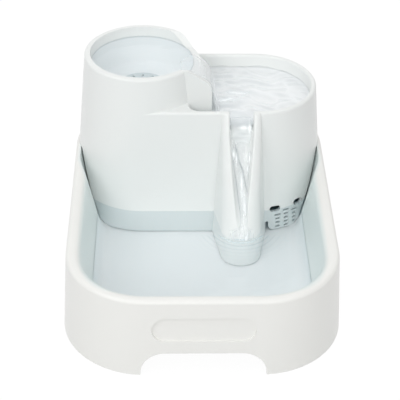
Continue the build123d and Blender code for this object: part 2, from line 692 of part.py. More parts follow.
def make_pump_housing():
    """Motor box, rotor well, volute and nozzle in one moulding."""
    half = MOTOR_WIDTH / 2
    box = block(
        MOTOR_BACK, VOLUTE_BACK, TOWER_Y - half, TOWER_Y + half, PUMP_BASE, PUMP_BASE + MOTOR_HEIGHT
    )
    box = fillet(box.edges().filter_by(Axis.X), MOTOR_CORNER)
    body = box + rod(VOLUTE_BACK, VOLUTE_FRONT, VOLUTE_RADIUS)
    body += post(-END_X, TOWER_Y, AXIS_Z, NOZZLE_TOP, NOZZLE_DIAMETER / 2)
    body -= rod(VOLUTE_BACK, VOLUTE_FRONT, VOLUTE_BORE)
    body -= post(-END_X, TOWER_Y, AXIS_Z, NOZZLE_TOP, NOZZLE_BORE / 2)
    body -= motor_pocket()
    body -= rod(WELL_END, VOLUTE_FRONT, WELL_BORE)
    body -= seal_ring()
    for x, y in foot_places():
        body -= post(x, y, PUMP_BASE, PUMP_BASE + MOTOR_WALL / 2, FOOT_PIN)
    return body


def seal_ring():
    """The flat ring that lies in a groove of the volute's front face."""
    middle = (VOLUTE_BORE + VOLUTE_RADIUS) / 2
    outer = rod(VOLUTE_FRONT - SEAL_THICKNESS, VOLUTE_FRONT, middle + SEAL_BREADTH / 2)
    return outer - rod(VOLUTE_FRONT - SEAL_THICKNESS, VOLUTE_FRONT, middle - SEAL_BREADTH / 2)


def make_volute_cover():
    """The plate that closes the volute, with the water's eye and the front bush on three spokes."""
    plate = rod(VOLUTE_FRONT, COVER_PLATE_FRONT, VOLUTE_RADIUS)
    plate -= rod(VOLUTE_FRONT, COVER_PLATE_FRONT, INTAKE_RADIUS)
    hub = rod(VOLUTE_FRONT, COVER_PLATE_FRONT, BUSH_RADIUS + MOTOR_WALL)
    spoke = block(
        VOLUTE_FRONT, COVER_PLATE_FRONT, TOWER_Y - BLADE_THICKNESS / 2, TOWER_Y + BLADE_THICKNESS / 2,
        AXIS_Z, AXIS_Z + INTAKE_RADIUS + OVERLAP,
    )
    axis = Axis((0, TOWER_Y, AXIS_Z), (1, 0, 0))
    for turn in (0, 120, 240):
        hub += spoke.rotate(axis, turn)
    return plate + hub - rod(VOLUTE_FRONT, COVER_PLATE_FRONT, BUSH_RADIUS)


def make_shaft():
    """The ceramic pin, held at both ends in rubber bushes."""
    return rod(WELL_END + SHAFT_RADIUS / 2, COVER_PLATE_FRONT - SHAFT_RADIUS, SHAFT_RADIUS)


def make_rear_bush():
    """The rubber bush at the bottom of the rotor well."""
    bush = rod(WELL_END, WELL_END + BUSH_RADIUS, WELL_BORE)
    hollow = rod(WELL_END + BUSH_RADIUS / 2, WELL_END + BUSH_RADIUS, WELL_BORE * 0.75)
    bush = bush - hollow + rod(WELL_END, WELL_END + BUSH_RADIUS, BUSH_RADIUS)
    return bush - make_shaft()


def make_front_bush():
    """The rubber bush in the volute cover's hub."""
    return rod(VOLUTE_FRONT, COVER_PLATE_FRONT, BUSH_RADIUS) - make_shaft()


def sleeve_start():
    """Where the rotor's sleeve begins, clear of the rear bush."""
    return WELL_END + BUSH_RADIUS + AXIAL_PLAY


def make_rotor_magnet():
    """The two-pole ferrite cylinder."""
    start = sleeve_start()
    magnet = rod(start, start + MAGNET_LENGTH, MAGNET_RADIUS)
    return magnet - rod(start, start + MAGNET_LENGTH, SLEEVE_RADIUS)


def make_impeller():
    """Straight blades on a hub, with the sleeve that runs through the magnet."""
    start = sleeve_start()
    hub_start = start + MAGNET_LENGTH
    blade_end = VOLUTE_FRONT - AXIAL_PLAY
    body = rod(start, blade_end, SLEEVE_RADIUS) + rod(hub_start, blade_end, SLEEVE_RADIUS * 1.6)
    blade_start = max(blade_end - BLADE_LENGTH, hub_start)
    blade = block(
        blade_start, blade_end, TOWER_Y - BLADE_THICKNESS / 2, TOWER_Y + BLADE_THICKNESS / 2,
        AXIS_Z, AXIS_Z + BLADE_RADIUS,
    )
    axis = Axis((0, TOWER_Y, AXIS_Z), (1, 0, 0))
    for number in range(BLADES):
        body += blade.rotate(axis, number * 360 / BLADES)
    return body - rod(start, blade_end, SHAFT_RADIUS + RUNNING_GAP)


def make_stator_core():
    """The laminated U: two arms beside the rotor well, joined by a bridge under it."""
    arm_gap = WELL_BORE + WELL_WALL
    x1 = VOLUTE_BACK - MOTOR_FRONT_WALL - AXIAL_PLAY
    x0 = x1 - CORE_THICKNESS
    bottom = PUMP_BASE + MOTOR_WALL + COIL_MARGIN
    core = block(
        x0, x1, TOWER_Y - arm_gap - CORE_ARM, TOWER_Y + arm_gap + CORE_ARM, bottom, AXIS_Z + arm_gap / 2
    )
    core -= block(x0, x1, TOWER_Y - arm_gap, TOWER_Y + arm_gap, bottom + CORE_ARM, AXIS_Z + arm_gap)
    return core


def make_stator_coil():
    """The winding around the core's bridge."""
    arm_gap = WELL_BORE + WELL_WALL
    x1 = VOLUTE_BACK - MOTOR_FRONT_WALL - AXIAL_PLAY
    x0 = x1 - CORE_THICKNESS
    bottom = PUMP_BASE + MOTOR_WALL + COIL_MARGIN
    margin = COIL_MARGIN - AXIAL_PLAY
    half = arm_gap - AXIAL_PLAY
    top = min(bottom + CORE_ARM + margin, AXIS_Z - arm_gap - AXIAL_PLAY)
    coil = block(x0 - margin, x1, TOWER_Y - half, TOWER_Y + half, bottom - margin, top)
    return coil - make_stator_core()


def make_potting_block():
    """The resin that fills the stator's pocket."""
    return motor_pocket() - make_stator_core() - make_stator_coil()


def make_cable_gland():
    """The rubber gland on top of the motor box, with the bore for the cord."""
    x = MOTOR_BACK + GLAND_RADIUS + MOTOR_CORNER
    base = PUMP_BASE + MOTOR_HEIGHT
    body = Pos(x, TOWER_Y, base) * Cone(GLAND_RADIUS, GLAND_TIP, GLAND_HEIGHT, align=LOW)
    return body - post(x, TOWER_Y, base + GLAND_HEIGHT / 4, base + GLAND_HEIGHT, GLAND_BORE)


def make_suction_feet():
    """Four rubber suction feet between the pump and the bowl's floor."""
    profile = Polyline(
        (0, 0),
        (FOOT_RADIUS, 0),
        (FOOT_RADIUS, FOOT_HEIGHT / 5),
        (FOOT_PIN * 1.5, FOOT_HEIGHT * 0.6),
        (FOOT_PIN * 1.5, FOOT_HEIGHT),
        (FOOT_PIN, FOOT_HEIGHT),
        (FOOT_PIN, FOOT_HEIGHT + MOTOR_WALL / 2),
        (0, FOOT_HEIGHT + MOTOR_WALL / 2),
        close=True,
    )
    foot = revolve(Plane.XZ * make_face(profile), Axis.Z)
    return Compound([Pos(x, y, FLOOR_TOP) * foot for x, y in foot_places()])


# ---- intake cover and flow dial ----------------------------------------------------------------
def make_intake_cover():
    """The slotted drum that slides on over the volute's front."""
    outer = DRUM_BORE + COVER_WALL
    drum = rod(DRUM_BACK, DRUM_FRONT, outer)
    drum = fillet(drum.edges().sort_by(Axis.X)[-1], COVER_WALL * 0.8)
    drum -= rod(DRUM_BACK, DRUM_FRONT - COVER_WALL, DRUM_BORE)
    grip = VOLUTE_COVER_THICKNESS + COVER_WALL
    slot = block(
        DRUM_BACK + grip, DRUM_FRONT - 2 * COVER_WALL, TOWER_Y - COVER_WALL * 0.75,
        TOWER_Y + COVER_WALL * 0.75, AXIS_Z + DRUM_BORE - OVERLAP, AXIS_Z + outer + OVERLAP,
    )
    axis = Axis((0, TOWER_Y, AXIS_Z), (1, 0, 0))
    for number in range(COVER_SLOTS):
        drum -= slot.rotate(axis, (number + 0.5) * 360 / COVER_SLOTS)
    for port in dial_ports(DRUM_FRONT - COVER_WALL, DRUM_FRONT):
        drum -= port
    return drum - rod(DRUM_FRONT - COVER_WALL, DRUM_FRONT, DIAL_PIN + RUNNING_GAP)


def dial_ports(x0, x1):
    """Round ports on one circle, the same in the drum's front and in the dial."""
    axis = Axis((0, TOWER_Y, AXIS_Z), (1, 0, 0))
    middle = (DIAL_PIN + DIAL_RADIUS) / 2
    port = rod(x0, x1, (DIAL_RADIUS - DIAL_PIN) * 0.3, z=AXIS_Z + middle)
    return [port.rotate(axis, number * 360 / DIAL_PORTS) for number in range(DIAL_PORTS)]


def make_flow_dial():
    """The dial on the drum's front: it turns its ports away from the drum's to slow the flow."""
    back = DRUM_FRONT + COVER_GAP
    front = back + DIAL_THICKNESS
    dial = rod(back, front, DIAL_RADIUS)
    for port in dial_ports(back, front):
        dial -= port
    bar = block(
        front, front + DIAL_THICKNESS, TOWER_Y - DIAL_THICKNESS / 2, TOWER_Y + DIAL_THICKNESS / 2,
        AXIS_Z - DIAL_RADIUS * 0.8, AXIS_Z + DIAL_RADIUS * 0.2,
    )
    inside = DRUM_FRONT - COVER_WALL - COVER_GAP
    dial += bar + rod(inside, back, DIAL_PIN)
    return dial + rod(inside - DIAL_THICKNESS / 2, inside, DIAL_HEAD)


def make_intake_sponge():
    """The coarse sponge ring inside the drum."""
    x0 = COVER_PLATE_FRONT + COVER_GAP
    x1 = DRUM_FRONT - COVER_WALL
    return rod(x0, x1, DRUM_BORE - COVER_GAP) - rod(x0, x1, SPONGE_BORE)


# ---- filter ------------------------------------------------------------------------------------
def filter_box(inset_x, inset_y, inset_z):
    """The cartridge's outline, drawn in by an inset along each axis."""
    bottom = FLOOR_TOP + RACK_WALL + RACK_GAP
    return block(
        FILTER_X - FILTER_THICKNESS / 2 + inset_x,
        FILTER_X + FILTER_THICKNESS / 2 - inset_x,
        FILTER_Y - FILTER_WIDTH / 2 + inset_y,
        FILTER_Y + FILTER_WIDTH / 2 - inset_y,
        bottom + inset_z,
        bottom + FILTER_HEIGHT - inset_z,
    )


def window_slots(x0, x1):
    """Cutters for the upright windows between the bars of one face of the cartridge."""
    margin = RACK_GRIP + FILTER_WALL
    clear = FILTER_WIDTH - 2 * margin
    pitch = clear / FILTER_BARS
    bottom = FLOOR_TOP + RACK_WALL + RACK_GAP
    return [
        block(
            x0,
            x1,
            FILTER_Y - clear / 2 + number * pitch + FILTER_WALL / 2,
            FILTER_Y - clear / 2 + (number + 1) * pitch - FILTER_WALL / 2,
            bottom + margin,
            bottom + FILTER_HEIGHT - margin,
        )
        for number in range(FILTER_BARS)
    ]


def make_cartridge_frame():
    """The cartridge's tray: closed sides, barred face, a tab to lift it by."""
    back = FILTER_X - FILTER_THICKNESS / 2
    front = FILTER_X + FILTER_THICKNESS / 2
    body = filter_box(0, 0, 0)
    body = fillet(body.edges().filter_by(Axis.X), FILTER_WALL)
    pocket = filter_box(0, FILTER_WALL, FILTER_WALL)
    pocket &= block(back, front - FILTER_WALL, 0, RIM_LENGTH, 0, CUP_RIM)
    body -= pocket
    for slot in window_slots(front - FILTER_WALL, front):
        body -= slot
    top = FLOOR_TOP + RACK_WALL + RACK_GAP + FILTER_HEIGHT
    tab = block(
        FILTER_X - FILTER_WALL / 2, FILTER_X + FILTER_WALL / 2, FILTER_Y - TAB_WIDTH / 2,
        FILTER_Y + TAB_WIDTH / 2, top - FILTER_WALL, top + TAB_HEIGHT,
    )
    return body + fillet(tab.edges().filter_by(Axis.X).group_by(Axis.Z)[-1], TAB_HEIGHT / 2)


def make_cartridge_cover():
    """The barred cover that closes the cartridge on the pump's side."""
    back = FILTER_X - FILTER_THICKNESS / 2
    body = filter_box(0, FILTER_WALL, FILTER_WALL)
    body &= block(back, back + FILTER_WALL, 0, RIM_LENGTH, 0, CUP_RIM)
    for slot in window_slots(back, back + FILTER_WALL):
        body -= slot
    return body


def make_carbon_bed():
    """The bag of activated carbon, next to the barred face."""
    front = FILTER_X + FILTER_THICKNESS / 2 - FILTER_WALL - COVER_GAP
    body = filter_box(0, FILTER_WALL + COVER_GAP, FILTER_WALL + COVER_GAP)
    return body & block(front - CARBON_THICKNESS, front, 0, RIM_LENGTH, 0, CUP_RIM)


def make_foam_pad():
    """The foam pad between the carbon and the cover."""
    back = FILTER_X - FILTER_THICKNESS / 2 + FILTER_WALL + COVER_GAP
    front = FILTER_X + FILTER_THICKNESS / 2 - FILTER_WALL - 2 * COVER_GAP - CARBON_THICKNESS
    body = filter_box(0, FILTER_WALL + COVER_GAP, FILTER_WALL + COVER_GAP)
    return body & block(back, front, 0, RIM_LENGTH, 0, CUP_RIM)


def make_filter_rack():
    """Two upright channels on one sill, standing on the bowl's floor."""
    outer_x = FILTER_THICKNESS / 2 + RACK_GAP + RACK_WALL
    outer_y = FILTER_WIDTH / 2 + RACK_GAP + RACK_WALL
    top = FLOOR_TOP + RACK_HEIGHT
    body = block(
        FILTER_X - outer_x, FILTER_X + outer_x, FILTER_Y - outer_y, FILTER_Y + outer_y, FLOOR_TOP, top
    )
    slide_x = outer_x - RACK_WALL
    slide_y = outer_y - RACK_WALL
    body -= block(
        FILTER_X - slide_x, FILTER_X + slide_x, FILTER_Y - slide_y, FILTER_Y + slide_y,
        FLOOR_TOP + RACK_WALL, top,
    )
    open_y = FILTER_WIDTH / 2 - RACK_GRIP
    sill = FLOOR_TOP + RACK_WALL
    return body - block(
        FILTER_X - outer_x, FILTER_X + outer_x, FILTER_Y - open_y, FILTER_Y + open_y, sill, top
    )


# ---- all pieces --------------------------------------------------------------------------------
PIECES = {
    "bowl": make_bowl,
    "tower": make_tower,
    "chute": make_chute,
    "outlet_disc": make_outlet_disc,
    "riser_tube": make_riser_tube,
    "pump_housing": make_pump_housing,
    "volute_cover": make_volute_cover,
    "volute_seal": seal_ring,
    "impeller_shaft": make_shaft,
    "rear_bush": make_rear_bush,
    "front_bush": make_front_bush,
    "rotor_magnet": make_rotor_magnet,
    "impeller": make_impeller,
    "stator_core": make_stator_core,
    "stator_coil": make_stator_coil,
    "potting_block": make_potting_block,
    "cable_gland": make_cable_gland,
    "suction_feet": make_suction_feet,
    "intake_cover": make_intake_cover,
    "intake_sponge": make_intake_sponge,
    "flow_dial": make_flow_dial,
    "filter_rack": make_filter_rack,
    "cartridge_frame": make_cartridge_frame,
    "cartridge_cover": make_cartridge_cover,
    "carbon_bed": make_carbon_bed,
    "foam_pad": make_foam_pad,
}

os.makedirs("parts", exist_ok=True)
for name, make in PIECES.items():
    export_step(make(), f"parts/{name}.step")
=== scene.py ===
# %% [markdown]
# # A pet water fountain
# Two mouldings in pale plastic make this fountain: a wide drinking bowl on four corner feet, and
# a tower that stands in the back of it. A pump lifts the water into the tower's round cup. It
# wells over a lip into a tray, and runs down a chute back into the bowl.
# The solids come packed from the CAD. This lesson gives them their finishes and adds the water,
# which is no part of the product but is what one sees first.

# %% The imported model
import json
import math

import bpy
import numpy as np
from mathutils import Matrix, Vector


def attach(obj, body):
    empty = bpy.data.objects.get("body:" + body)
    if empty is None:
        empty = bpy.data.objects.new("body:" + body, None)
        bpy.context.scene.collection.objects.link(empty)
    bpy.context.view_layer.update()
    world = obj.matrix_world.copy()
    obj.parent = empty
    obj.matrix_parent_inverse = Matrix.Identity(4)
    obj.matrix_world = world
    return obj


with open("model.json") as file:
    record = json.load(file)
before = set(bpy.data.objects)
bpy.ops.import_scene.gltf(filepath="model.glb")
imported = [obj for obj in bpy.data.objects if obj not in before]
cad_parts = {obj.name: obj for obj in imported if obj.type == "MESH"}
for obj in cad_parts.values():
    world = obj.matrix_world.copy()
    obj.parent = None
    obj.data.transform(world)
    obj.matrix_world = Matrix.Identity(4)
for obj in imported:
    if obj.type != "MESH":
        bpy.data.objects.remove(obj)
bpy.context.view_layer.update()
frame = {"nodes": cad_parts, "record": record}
nodes = frame["nodes"]
scene = bpy.context.scene

# %% [markdown]
# ## The camera
# A product shot from the front and above, through a long lens. The angles are those of a camera
# on a tripod: turned, tilted down and rolled a trace. Building its matrix from three directions
# keeps the roll exact, which a Track To constraint would lose.

# %% Camera
CAMERA_PLACE = Vector((-0.025606, -0.930110, 0.719350))
CAMERA_TURN = math.radians(1.54078)
CAMERA_TILT = math.radians(35.20507)
CAMERA_ROLL = math.radians(0.74623)
FOCAL_LENGTH = 119.505  # mm on a 36 mm sensor

forward = Vector((
    math.sin(CAMERA_TURN) * math.cos(CAMERA_TILT),
    math.cos(CAMERA_TURN) * math.cos(CAMERA_TILT),
    -math.sin(CAMERA_TILT),
))
level_right = Vector((math.cos(CAMERA_TURN), -math.sin(CAMERA_TURN), 0.0))
level_up = level_right.cross(forward)
right = level_right * math.cos(CAMERA_ROLL) + level_up * math.sin(CAMERA_ROLL)
up = level_up * math.cos(CAMERA_ROLL) - level_right * math.sin(CAMERA_ROLL)

lens = bpy.data.cameras.new("camera")
lens.lens = FOCAL_LENGTH
lens.sensor_width = 36.0
camera = bpy.data.objects.new("camera", lens)
scene.collection.objects.link(camera)
camera.matrix_world = (
    Matrix.Translation(CAMERA_PLACE) @ Matrix((right, up, -forward)).transposed().to_4x4()
)
scene.camera = camera

# %% [markdown]
# ## Light
# Soft studio light: an even white room with a large soft box high on the left in front, one
# straight in front that reaches into the basin and the cup, one overhead for the basin's floor,
# and a wide weak one behind that lifts the rims. White plastic shows its shape only where one
# side gets less than the other, so the room is dimmed to about two thirds and the boxes add the
# rest. The powers were balanced one lamp at a time.

# %% Lamps
scene.view_settings.view_transform = "Standard"


def soft_box(name, place, aim, width, height, power):
    """A rectangular area lamp at a place, turned so that it faces another."""
    lamp = bpy.data.lights.new(name, "AREA")
    lamp.shape = "RECTANGLE"
    lamp.size = width
    lamp.size_y = height
    lamp.energy = power
    box = bpy.data.objects.new(name, lamp)
    box.location = place
    box.rotation_euler = (Vector(aim) - Vector(place)).to_track_quat("-Z", "Y").to_euler()
    scene.collection.objects.link(box)


MIDDLE = (0.0, 0.02, 0.07)
soft_box("key_box", (-1.0, -0.9, 1.3), MIDDLE, 1.0, 1.0, 6.7)
soft_box("front_box", (0.15, -1.6, 0.75), MIDDLE, 1.2, 0.6, 6.1)
soft_box("top_box", (0.0, -0.35, 2.0), MIDDLE, 1.0, 1.0, 3.0)
soft_box("back_box", (-0.1, 1.6, 1.3), MIDDLE, 2.6, 1.2, 4.2)


# %% [markdown]
# ## Node helpers
# A material is a small network. Written node by node it is hard to read, so two helpers keep it
# short. Wire stands for one output, and lets values be added and multiplied as in arithmetic.
# Finish holds a material and makes any other node from its type, its settings and its inputs.

# %% Wire and Finish
class Wire:
    """One output socket. Arithmetic on wires and numbers adds the Math nodes for it."""

    def __init__(self, finish, socket):
        self.finish = finish
        self.socket = socket

    def _combine(self, operation, first, second):
        """The Math node of one operation, on two wires or numbers."""
        return self.finish.node("ShaderNodeMath", {"operation": operation}, {0: first, 1: second})

    def __add__(self, other):
        return self._combine("ADD", self, other)

    __radd__ = __add__  # a sum is the same either way round

    def __sub__(self, other):
        return self._combine("SUBTRACT", self, other)

    def __rsub__(self, other):
        return self._combine("SUBTRACT", other, self)

    def __mul__(self, other):
        return self._combine("MULTIPLY", self, other)

    __rmul__ = __mul__

    def __pow__(self, other):
        return self._combine("POWER", self, other)

    def __rpow__(self, other):
        return self._combine("POWER", other, self)


class Finish:
    """A material with its Principled shader, and the nodes that feed it."""

    def __init__(self, name, **constants):
        self.name = name
        self.material = bpy.data.materials.new(name)
        self.material.use_nodes = True
        self.tree = self.material.node_tree
        self.shader = self.tree.nodes["Principled BSDF"]
        for socket, value in constants.items():
            self.shader.inputs[socket.replace("_", " ")].default_value = value

    def node(self, kind, settings, inputs, output=0):
        """Makes a node: type, then settings, then the values or wires of its inputs."""
        made = self.tree.nodes.new(kind)
        for name, value in settings.items():
            setattr(made, name, value)
        for key, value in inputs.items():
            self.feed(made.inputs[key], value)
        return Wire(self, made.outputs[output])

    def feed(self, socket, value):
        """Joins a wire to a socket, or writes a plain value into it."""
        if isinstance(value, Wire):
            self.tree.links.new(value.socket, socket)
        else:
            socket.default_value = value

    def place(self, scale=(1.0, 1.0, 1.0)):
        """The point on the object, in metres, stretched for a pattern."""
        point = self.node("ShaderNodeTexCoord", {}, {}, output=3)
        return self.node("ShaderNodeMapping", {}, {0: point, "Scale": scale})

    def axes(self):
        """The point's three coordinates, in metres."""
        split = self.node("ShaderNodeSeparateXYZ", {}, {0: self.place()})
        return [Wire(self, output) for output in split.socket.node.outputs]

    def attribute(self, name):
        """A number that the mesh carries at each of its vertices."""
        return self.node("ShaderNodeAttribute", {"attribute_name": name}, {}, output=2)

    def noise(self, size, detail=3.0, rough=0.5, point=None):
        """Cloudy noise from 0 to 1 with patches of about one size, in metres."""
        inputs = {"Scale": 1.0 / size, "Detail": detail, "Roughness": rough}
        inputs["Vector"] = point or self.place()
        return self.node("ShaderNodeTexNoise", {}, inputs)

    def blend(self, share, first, second, kind="MIX"):
        """A colour between two colours, or with MULTIPLY the first tinted by the second."""
        settings = {"data_type": "RGBA", "blend_type": kind}
        return self.node("ShaderNodeMix", settings, {0: share, 6: first, 7: second}, output=2)

    def rise(self, value, start, full):
        """Goes from 0 to 1 while a value goes from its start to its full."""
        return self.node(
            "ShaderNodeMapRange", {}, {"Value": value, "From Min": start, "From Max": full}
        )

    def bump(self, height, strength, depth):
        """Relief: a height from 0 to 1 as a depth in metres."""
        return self.node(
            "ShaderNodeBump", {}, {"Height": height, "Strength": strength, "Distance": depth}
        )

    def paint(self, **inputs):
        """Feeds the shader's own sockets."""
        for socket, value in inputs.items():
            self.feed(self.shader.inputs[socket.replace("_", " ")], value)
        return self

    def follow(self, pattern, first, second, rough, rougher):
        """Takes colour and roughness from one to the other as a pattern goes from 0 to 1."""
        return self.paint(
            Base_Color=self.blend(pattern, colour(*first), colour(*second)),
            Roughness=rough + pattern * (rougher - rough),
        )

    def cover(self, share, upper):
        """Lays another shader over the first, by a share from 0 to 1."""
        surface = self.tree.nodes["Material Output"].inputs["Surface"]
        lower = Wire(self, surface.links[0].from_socket)
        self.feed(surface, self.node("ShaderNodeMixShader", {}, {0: share, 1: lower, 2: upper}))


def colour(red, green, blue):
    """A colour as the four numbers that Blender wants."""
    return (red, green, blue, 1.0)


# %% [markdown]
# ## Floor and room
# The floor is a plain pale sheet. Seen directly it is nearly white by itself and keeps only a
# soft contact shadow; to the object it is an ordinary pale surface that throws light up under
# the rims. Light Path tells the two apart.

# %% Floor and world
def seen_directly(finish):
    """1 where the camera, a reflection or a see-through surface looks, and 0 for stray light."""
    path = finish.tree.nodes.new("ShaderNodeLightPath")
    kinds = ("Camera", "Glossy", "Transmission")
    seen, mirrored, through = [Wire(finish, path.outputs[f"Is {kind} Ray"]) for kind in kinds]
    return seen + mirrored + through


FLOOR_REACH = 12.0  # half the width of the floor, in metres
FLOOR_PALE = 0.60
FLOOR_OWN_WHITE = 0.90  # how much of the seen white doesn't depend on the light
FLOOR_GLOW = 1.07

floor_mesh = bpy.data.meshes.new("floor")
corner_signs = ((-1, -1), (1, -1), (1, 1), (-1, 1))
floor_corners = [(x * FLOOR_REACH, y * FLOOR_REACH, 0.0) for x, y in corner_signs]
floor_mesh.from_pydata(floor_corners, [], [(0, 1, 2, 3)])
floor = bpy.data.objects.new("floor", floor_mesh)
scene.collection.objects.link(floor)

floor_finish = Finish("floor_paper", Roughness=0.9)
floor_finish.paint(Base_Color=colour(FLOOR_PALE, FLOOR_PALE, FLOOR_PALE))
floor_glow = floor_finish.node("ShaderNodeEmission", {}, {"Strength": FLOOR_GLOW})
floor_finish.cover(seen_directly(floor_finish) * FLOOR_OWN_WHITE, floor_glow)
floor_mesh.materials.append(floor_finish.material)

ROOM_LIGHT = 0.65  # brightness of the white room as a light


class Room(Finish):
    """The world's own network, with the same helpers."""

    def __init__(self):
        self.world = bpy.data.worlds.new("white_room")
        self.world.use_nodes = True
        self.tree = self.world.node_tree


room = Room()
scene.world = room.world
room_glow = room.tree.nodes["Background"]
room_glow.inputs["Color"].default_value = colour(1.0, 1.0, 1.0)
room.feed(room_glow.inputs["Strength"], seen_directly(room) * (1.0 - ROOM_LIGHT) + ROOM_LIGHT)
print("floor and room ready")

# %% [markdown]
# ## Moulded plastic
# Injection-moulded parts are never one flat colour. The pellets melt into faint clouds, the
# skin has a fine spark-eroded grain from the mould, and thick places sink by a few hundredths
# of a millimetre, which bends reflections. One recipe with a few numbers serves every plastic
# piece, so the pale housing and the dark pump differ only in numbers.

# %% Plastic recipe
def moulded_plastic(name, base, cloud, gloss, grain_size, grain_depth):
    """Plastic with cloudy colour, fine grain and shallow sink waves."""
    finish = Finish(name, IOR=1.49)
    clouds = finish.noise(0.05, detail=4.0)
    grain = finish.noise(grain_size, detail=2.0, rough=0.7)
    sink = finish.noise(0.035, detail=1.0)
    relief = finish.bump(grain * 0.5 + sink * 2.0, 1.0, grain_depth)
    return finish.paint(
        Base_Color=finish.blend(clouds, colour(*base), colour(*cloud)),
        Roughness=gloss + (grain - 0.5) * 0.10 + (clouds - 0.5) * 0.08,
        Normal=relief,
    )


PLASTICS = [  # name, colour, colour of its clouds, gloss, grain size and depth in metres
    ("pale_plastic", (0.850, 0.868, 0.855), (0.835, 0.857, 0.848), 0.30, 0.0006, 0.00003),
    ("tower_plastic", (0.850, 0.868, 0.855), (0.835, 0.857, 0.848), 0.30, 0.0006, 0.00003),
    ("bowl_plastic", (0.866, 0.866, 0.837), (0.850, 0.854, 0.830), 0.30, 0.0006, 0.00003),
    ("black_plastic", (0.020, 0.023, 0.026), (0.030, 0.033, 0.036), 0.42, 0.0005, 0.00005),
    ("grey_plastic", (0.33, 0.35, 0.36), (0.38, 0.40, 0.41), 0.40, 0.0005, 0.00005),
    ("smoke_plastic", (0.66, 0.71, 0.72), (0.70, 0.75, 0.76), 0.34, 0.0005, 0.00004),
    ("white_plastic", (0.78, 0.80, 0.80), (0.83, 0.84, 0.84), 0.38, 0.0005, 0.00004),
]
plastics = {row[0]: moulded_plastic(*row) for row in PLASTICS}
print("plastics:", ", ".join(plastics))

# %% [markdown]
# ## Painted shade on the plastic
# The basin's inside, its floor and walls up to the rim, gets a faint blue-grey painted shade, and
# the foot of the tower gets a painted shade below the water's level, with a sharp edge at that
# level. Both are a tint on the plastic's own colour.
# A point is inside the basin where the sixth powers of its distances across and along, each as
# a share of the mouth's half size, add up to less than one.

# %% Painted shade on the plastic
MM = 0.001
WATER_LEVEL = 32.5 * MM  # of the bowl's water
MOUTH_HALF_WIDTH = 102.0 * MM  # of the basin, where the rim starts to roll over
MOUTH_HALF_LENGTH = 139.0 * MM
WELL_START = 25.0 * MM  # from here to the next the basin widens for the tower
WELL_FULL = 50.0 * MM
WELL_WIDENING = 6.8 * MM
UNDERSIDE = 10.0 * MM  # the floor's lower face stays dry
WATERLINE_BLUR = 0.2 * MM


def tint_with_painted_shade(finish, share, tint):
    """Multiplies a finish's colour by a tint where the share is 1."""
    dry = Wire(finish, finish.shader.inputs["Base Color"].links[0].from_socket)
    finish.paint(Base_Color=finish.blend(share, dry, tint, kind="MULTIPLY"))


bowl_plastic = plastics["bowl_plastic"]
across, back, height = bowl_plastic.axes()
widened = bowl_plastic.rise(back, WELL_START, WELL_FULL)
mouth_half = MOUTH_HALF_WIDTH + WELL_WIDENING * widened
sideways = across * mouth_half ** -1.0  # the power of -1 divides by it
outwards = sideways ** 6.0 + (back * (1.0 / MOUTH_HALF_LENGTH)) ** 6.0
over_floor = bowl_plastic.rise(height, UNDERSIDE, UNDERSIDE + 4.0 * MM)
basin_painted_shade = bowl_plastic.rise(outwards, 1.0, 0.8) * over_floor
# Painted shade: the basin's inside is tinted blue-grey.
tint_with_painted_shade(bowl_plastic, basin_painted_shade, colour(0.87, 0.955, 0.975))

tower_plastic = plastics["tower_plastic"]
height = tower_plastic.axes()[2]
underwater_painted_shade = tower_plastic.rise(height, WATER_LEVEL + WATERLINE_BLUR, WATER_LEVEL - WATERLINE_BLUR)
# Painted shade: the tower below the water's level is tinted darker and bluer.
tint_with_painted_shade(tower_plastic, underwater_painted_shade, colour(0.90, 0.93, 0.94))

# %% [markdown]
# ## Rubber, silicone and ceramic
# The riser tube is milky silicone: pale, soft and slightly see-through, so some light goes
# through its skin. The bushes, seal, feet and gland are black rubber, dull with a bloom of
# paler dust. The shaft is ground ceramic, smooth with fine marks that run round it.

# %% Rubber, silicone and ceramic
silicone = Finish("silicone", IOR=1.41, Subsurface_Weight=0.25, Subsurface_Scale=0.003)
silicone_clouds = silicone.noise(0.012, detail=3.0)
silicone.follow(silicone_clouds, (0.76, 0.79, 0.80), (0.83, 0.85, 0.85), 0.32, 0.44)
silicone.paint(Normal=silicone.bump(silicone.noise(0.0015), 0.5, 0.00008))

black_rubber = Finish("black_rubber", IOR=1.52)
rubber_bloom = black_rubber.noise(0.006, detail=5.0, rough=0.65)
black_rubber.follow(rubber_bloom, (0.014, 0.014, 0.015), (0.045, 0.045, 0.047), 0.62, 0.82)
black_rubber.paint(Normal=black_rubber.bump(black_rubber.noise(0.0004), 0.6, 0.00006))

ceramic = Finish("ceramic", IOR=1.76)
ceramic_marks = ceramic.noise(0.0009, point=ceramic.place(scale=(9.0, 1.0, 1.0)))
ceramic.follow(ceramic_marks, (0.86, 0.85, 0.80), (0.90, 0.89, 0.86), 0.16, 0.26)
ceramic.paint(Normal=ceramic.bump(ceramic_marks, 0.4, 0.00001))

# %% [markdown]
# ## Motor metals and resin
# The rotor is a sintered ferrite magnet, dark grey with pits. The stator core is a stack of
# punched steel sheets half a millimetre thick, so it is banded along the shaft. The coil is
# enamelled copper wire wound round the core's bridge, and shows as fine ridges. All of it is
# sealed in black resin, which pours smooth and settles in slow waves.

# %% Motor metals and resin
ferrite = Finish("ferrite", IOR=1.9, Metallic=0.35)
ferrite_pits = ferrite.noise(0.0009, detail=5.0, rough=0.7)
ferrite.follow(ferrite_pits, (0.035, 0.035, 0.038), (0.11, 0.11, 0.115), 0.50, 0.75)
ferrite.paint(Normal=ferrite.bump(ferrite_pits, 0.8, 0.0001))

WAVE_SCALE = 0.314  # a Wave node's scale for bands one metre apart
LAMINATION = 0.5 * MM
WIRE_WIDTH = 0.35 * MM


def bands(finish, direction, spacing, distortion):
    """Bands across one direction at a spacing in metres, from 0 to 1."""
    return finish.node(
        "ShaderNodeTexWave",
        {"wave_type": "BANDS", "bands_direction": direction},
        {"Vector": finish.place(), "Scale": WAVE_SCALE / spacing, "Distortion": distortion},
        output=1,
    )


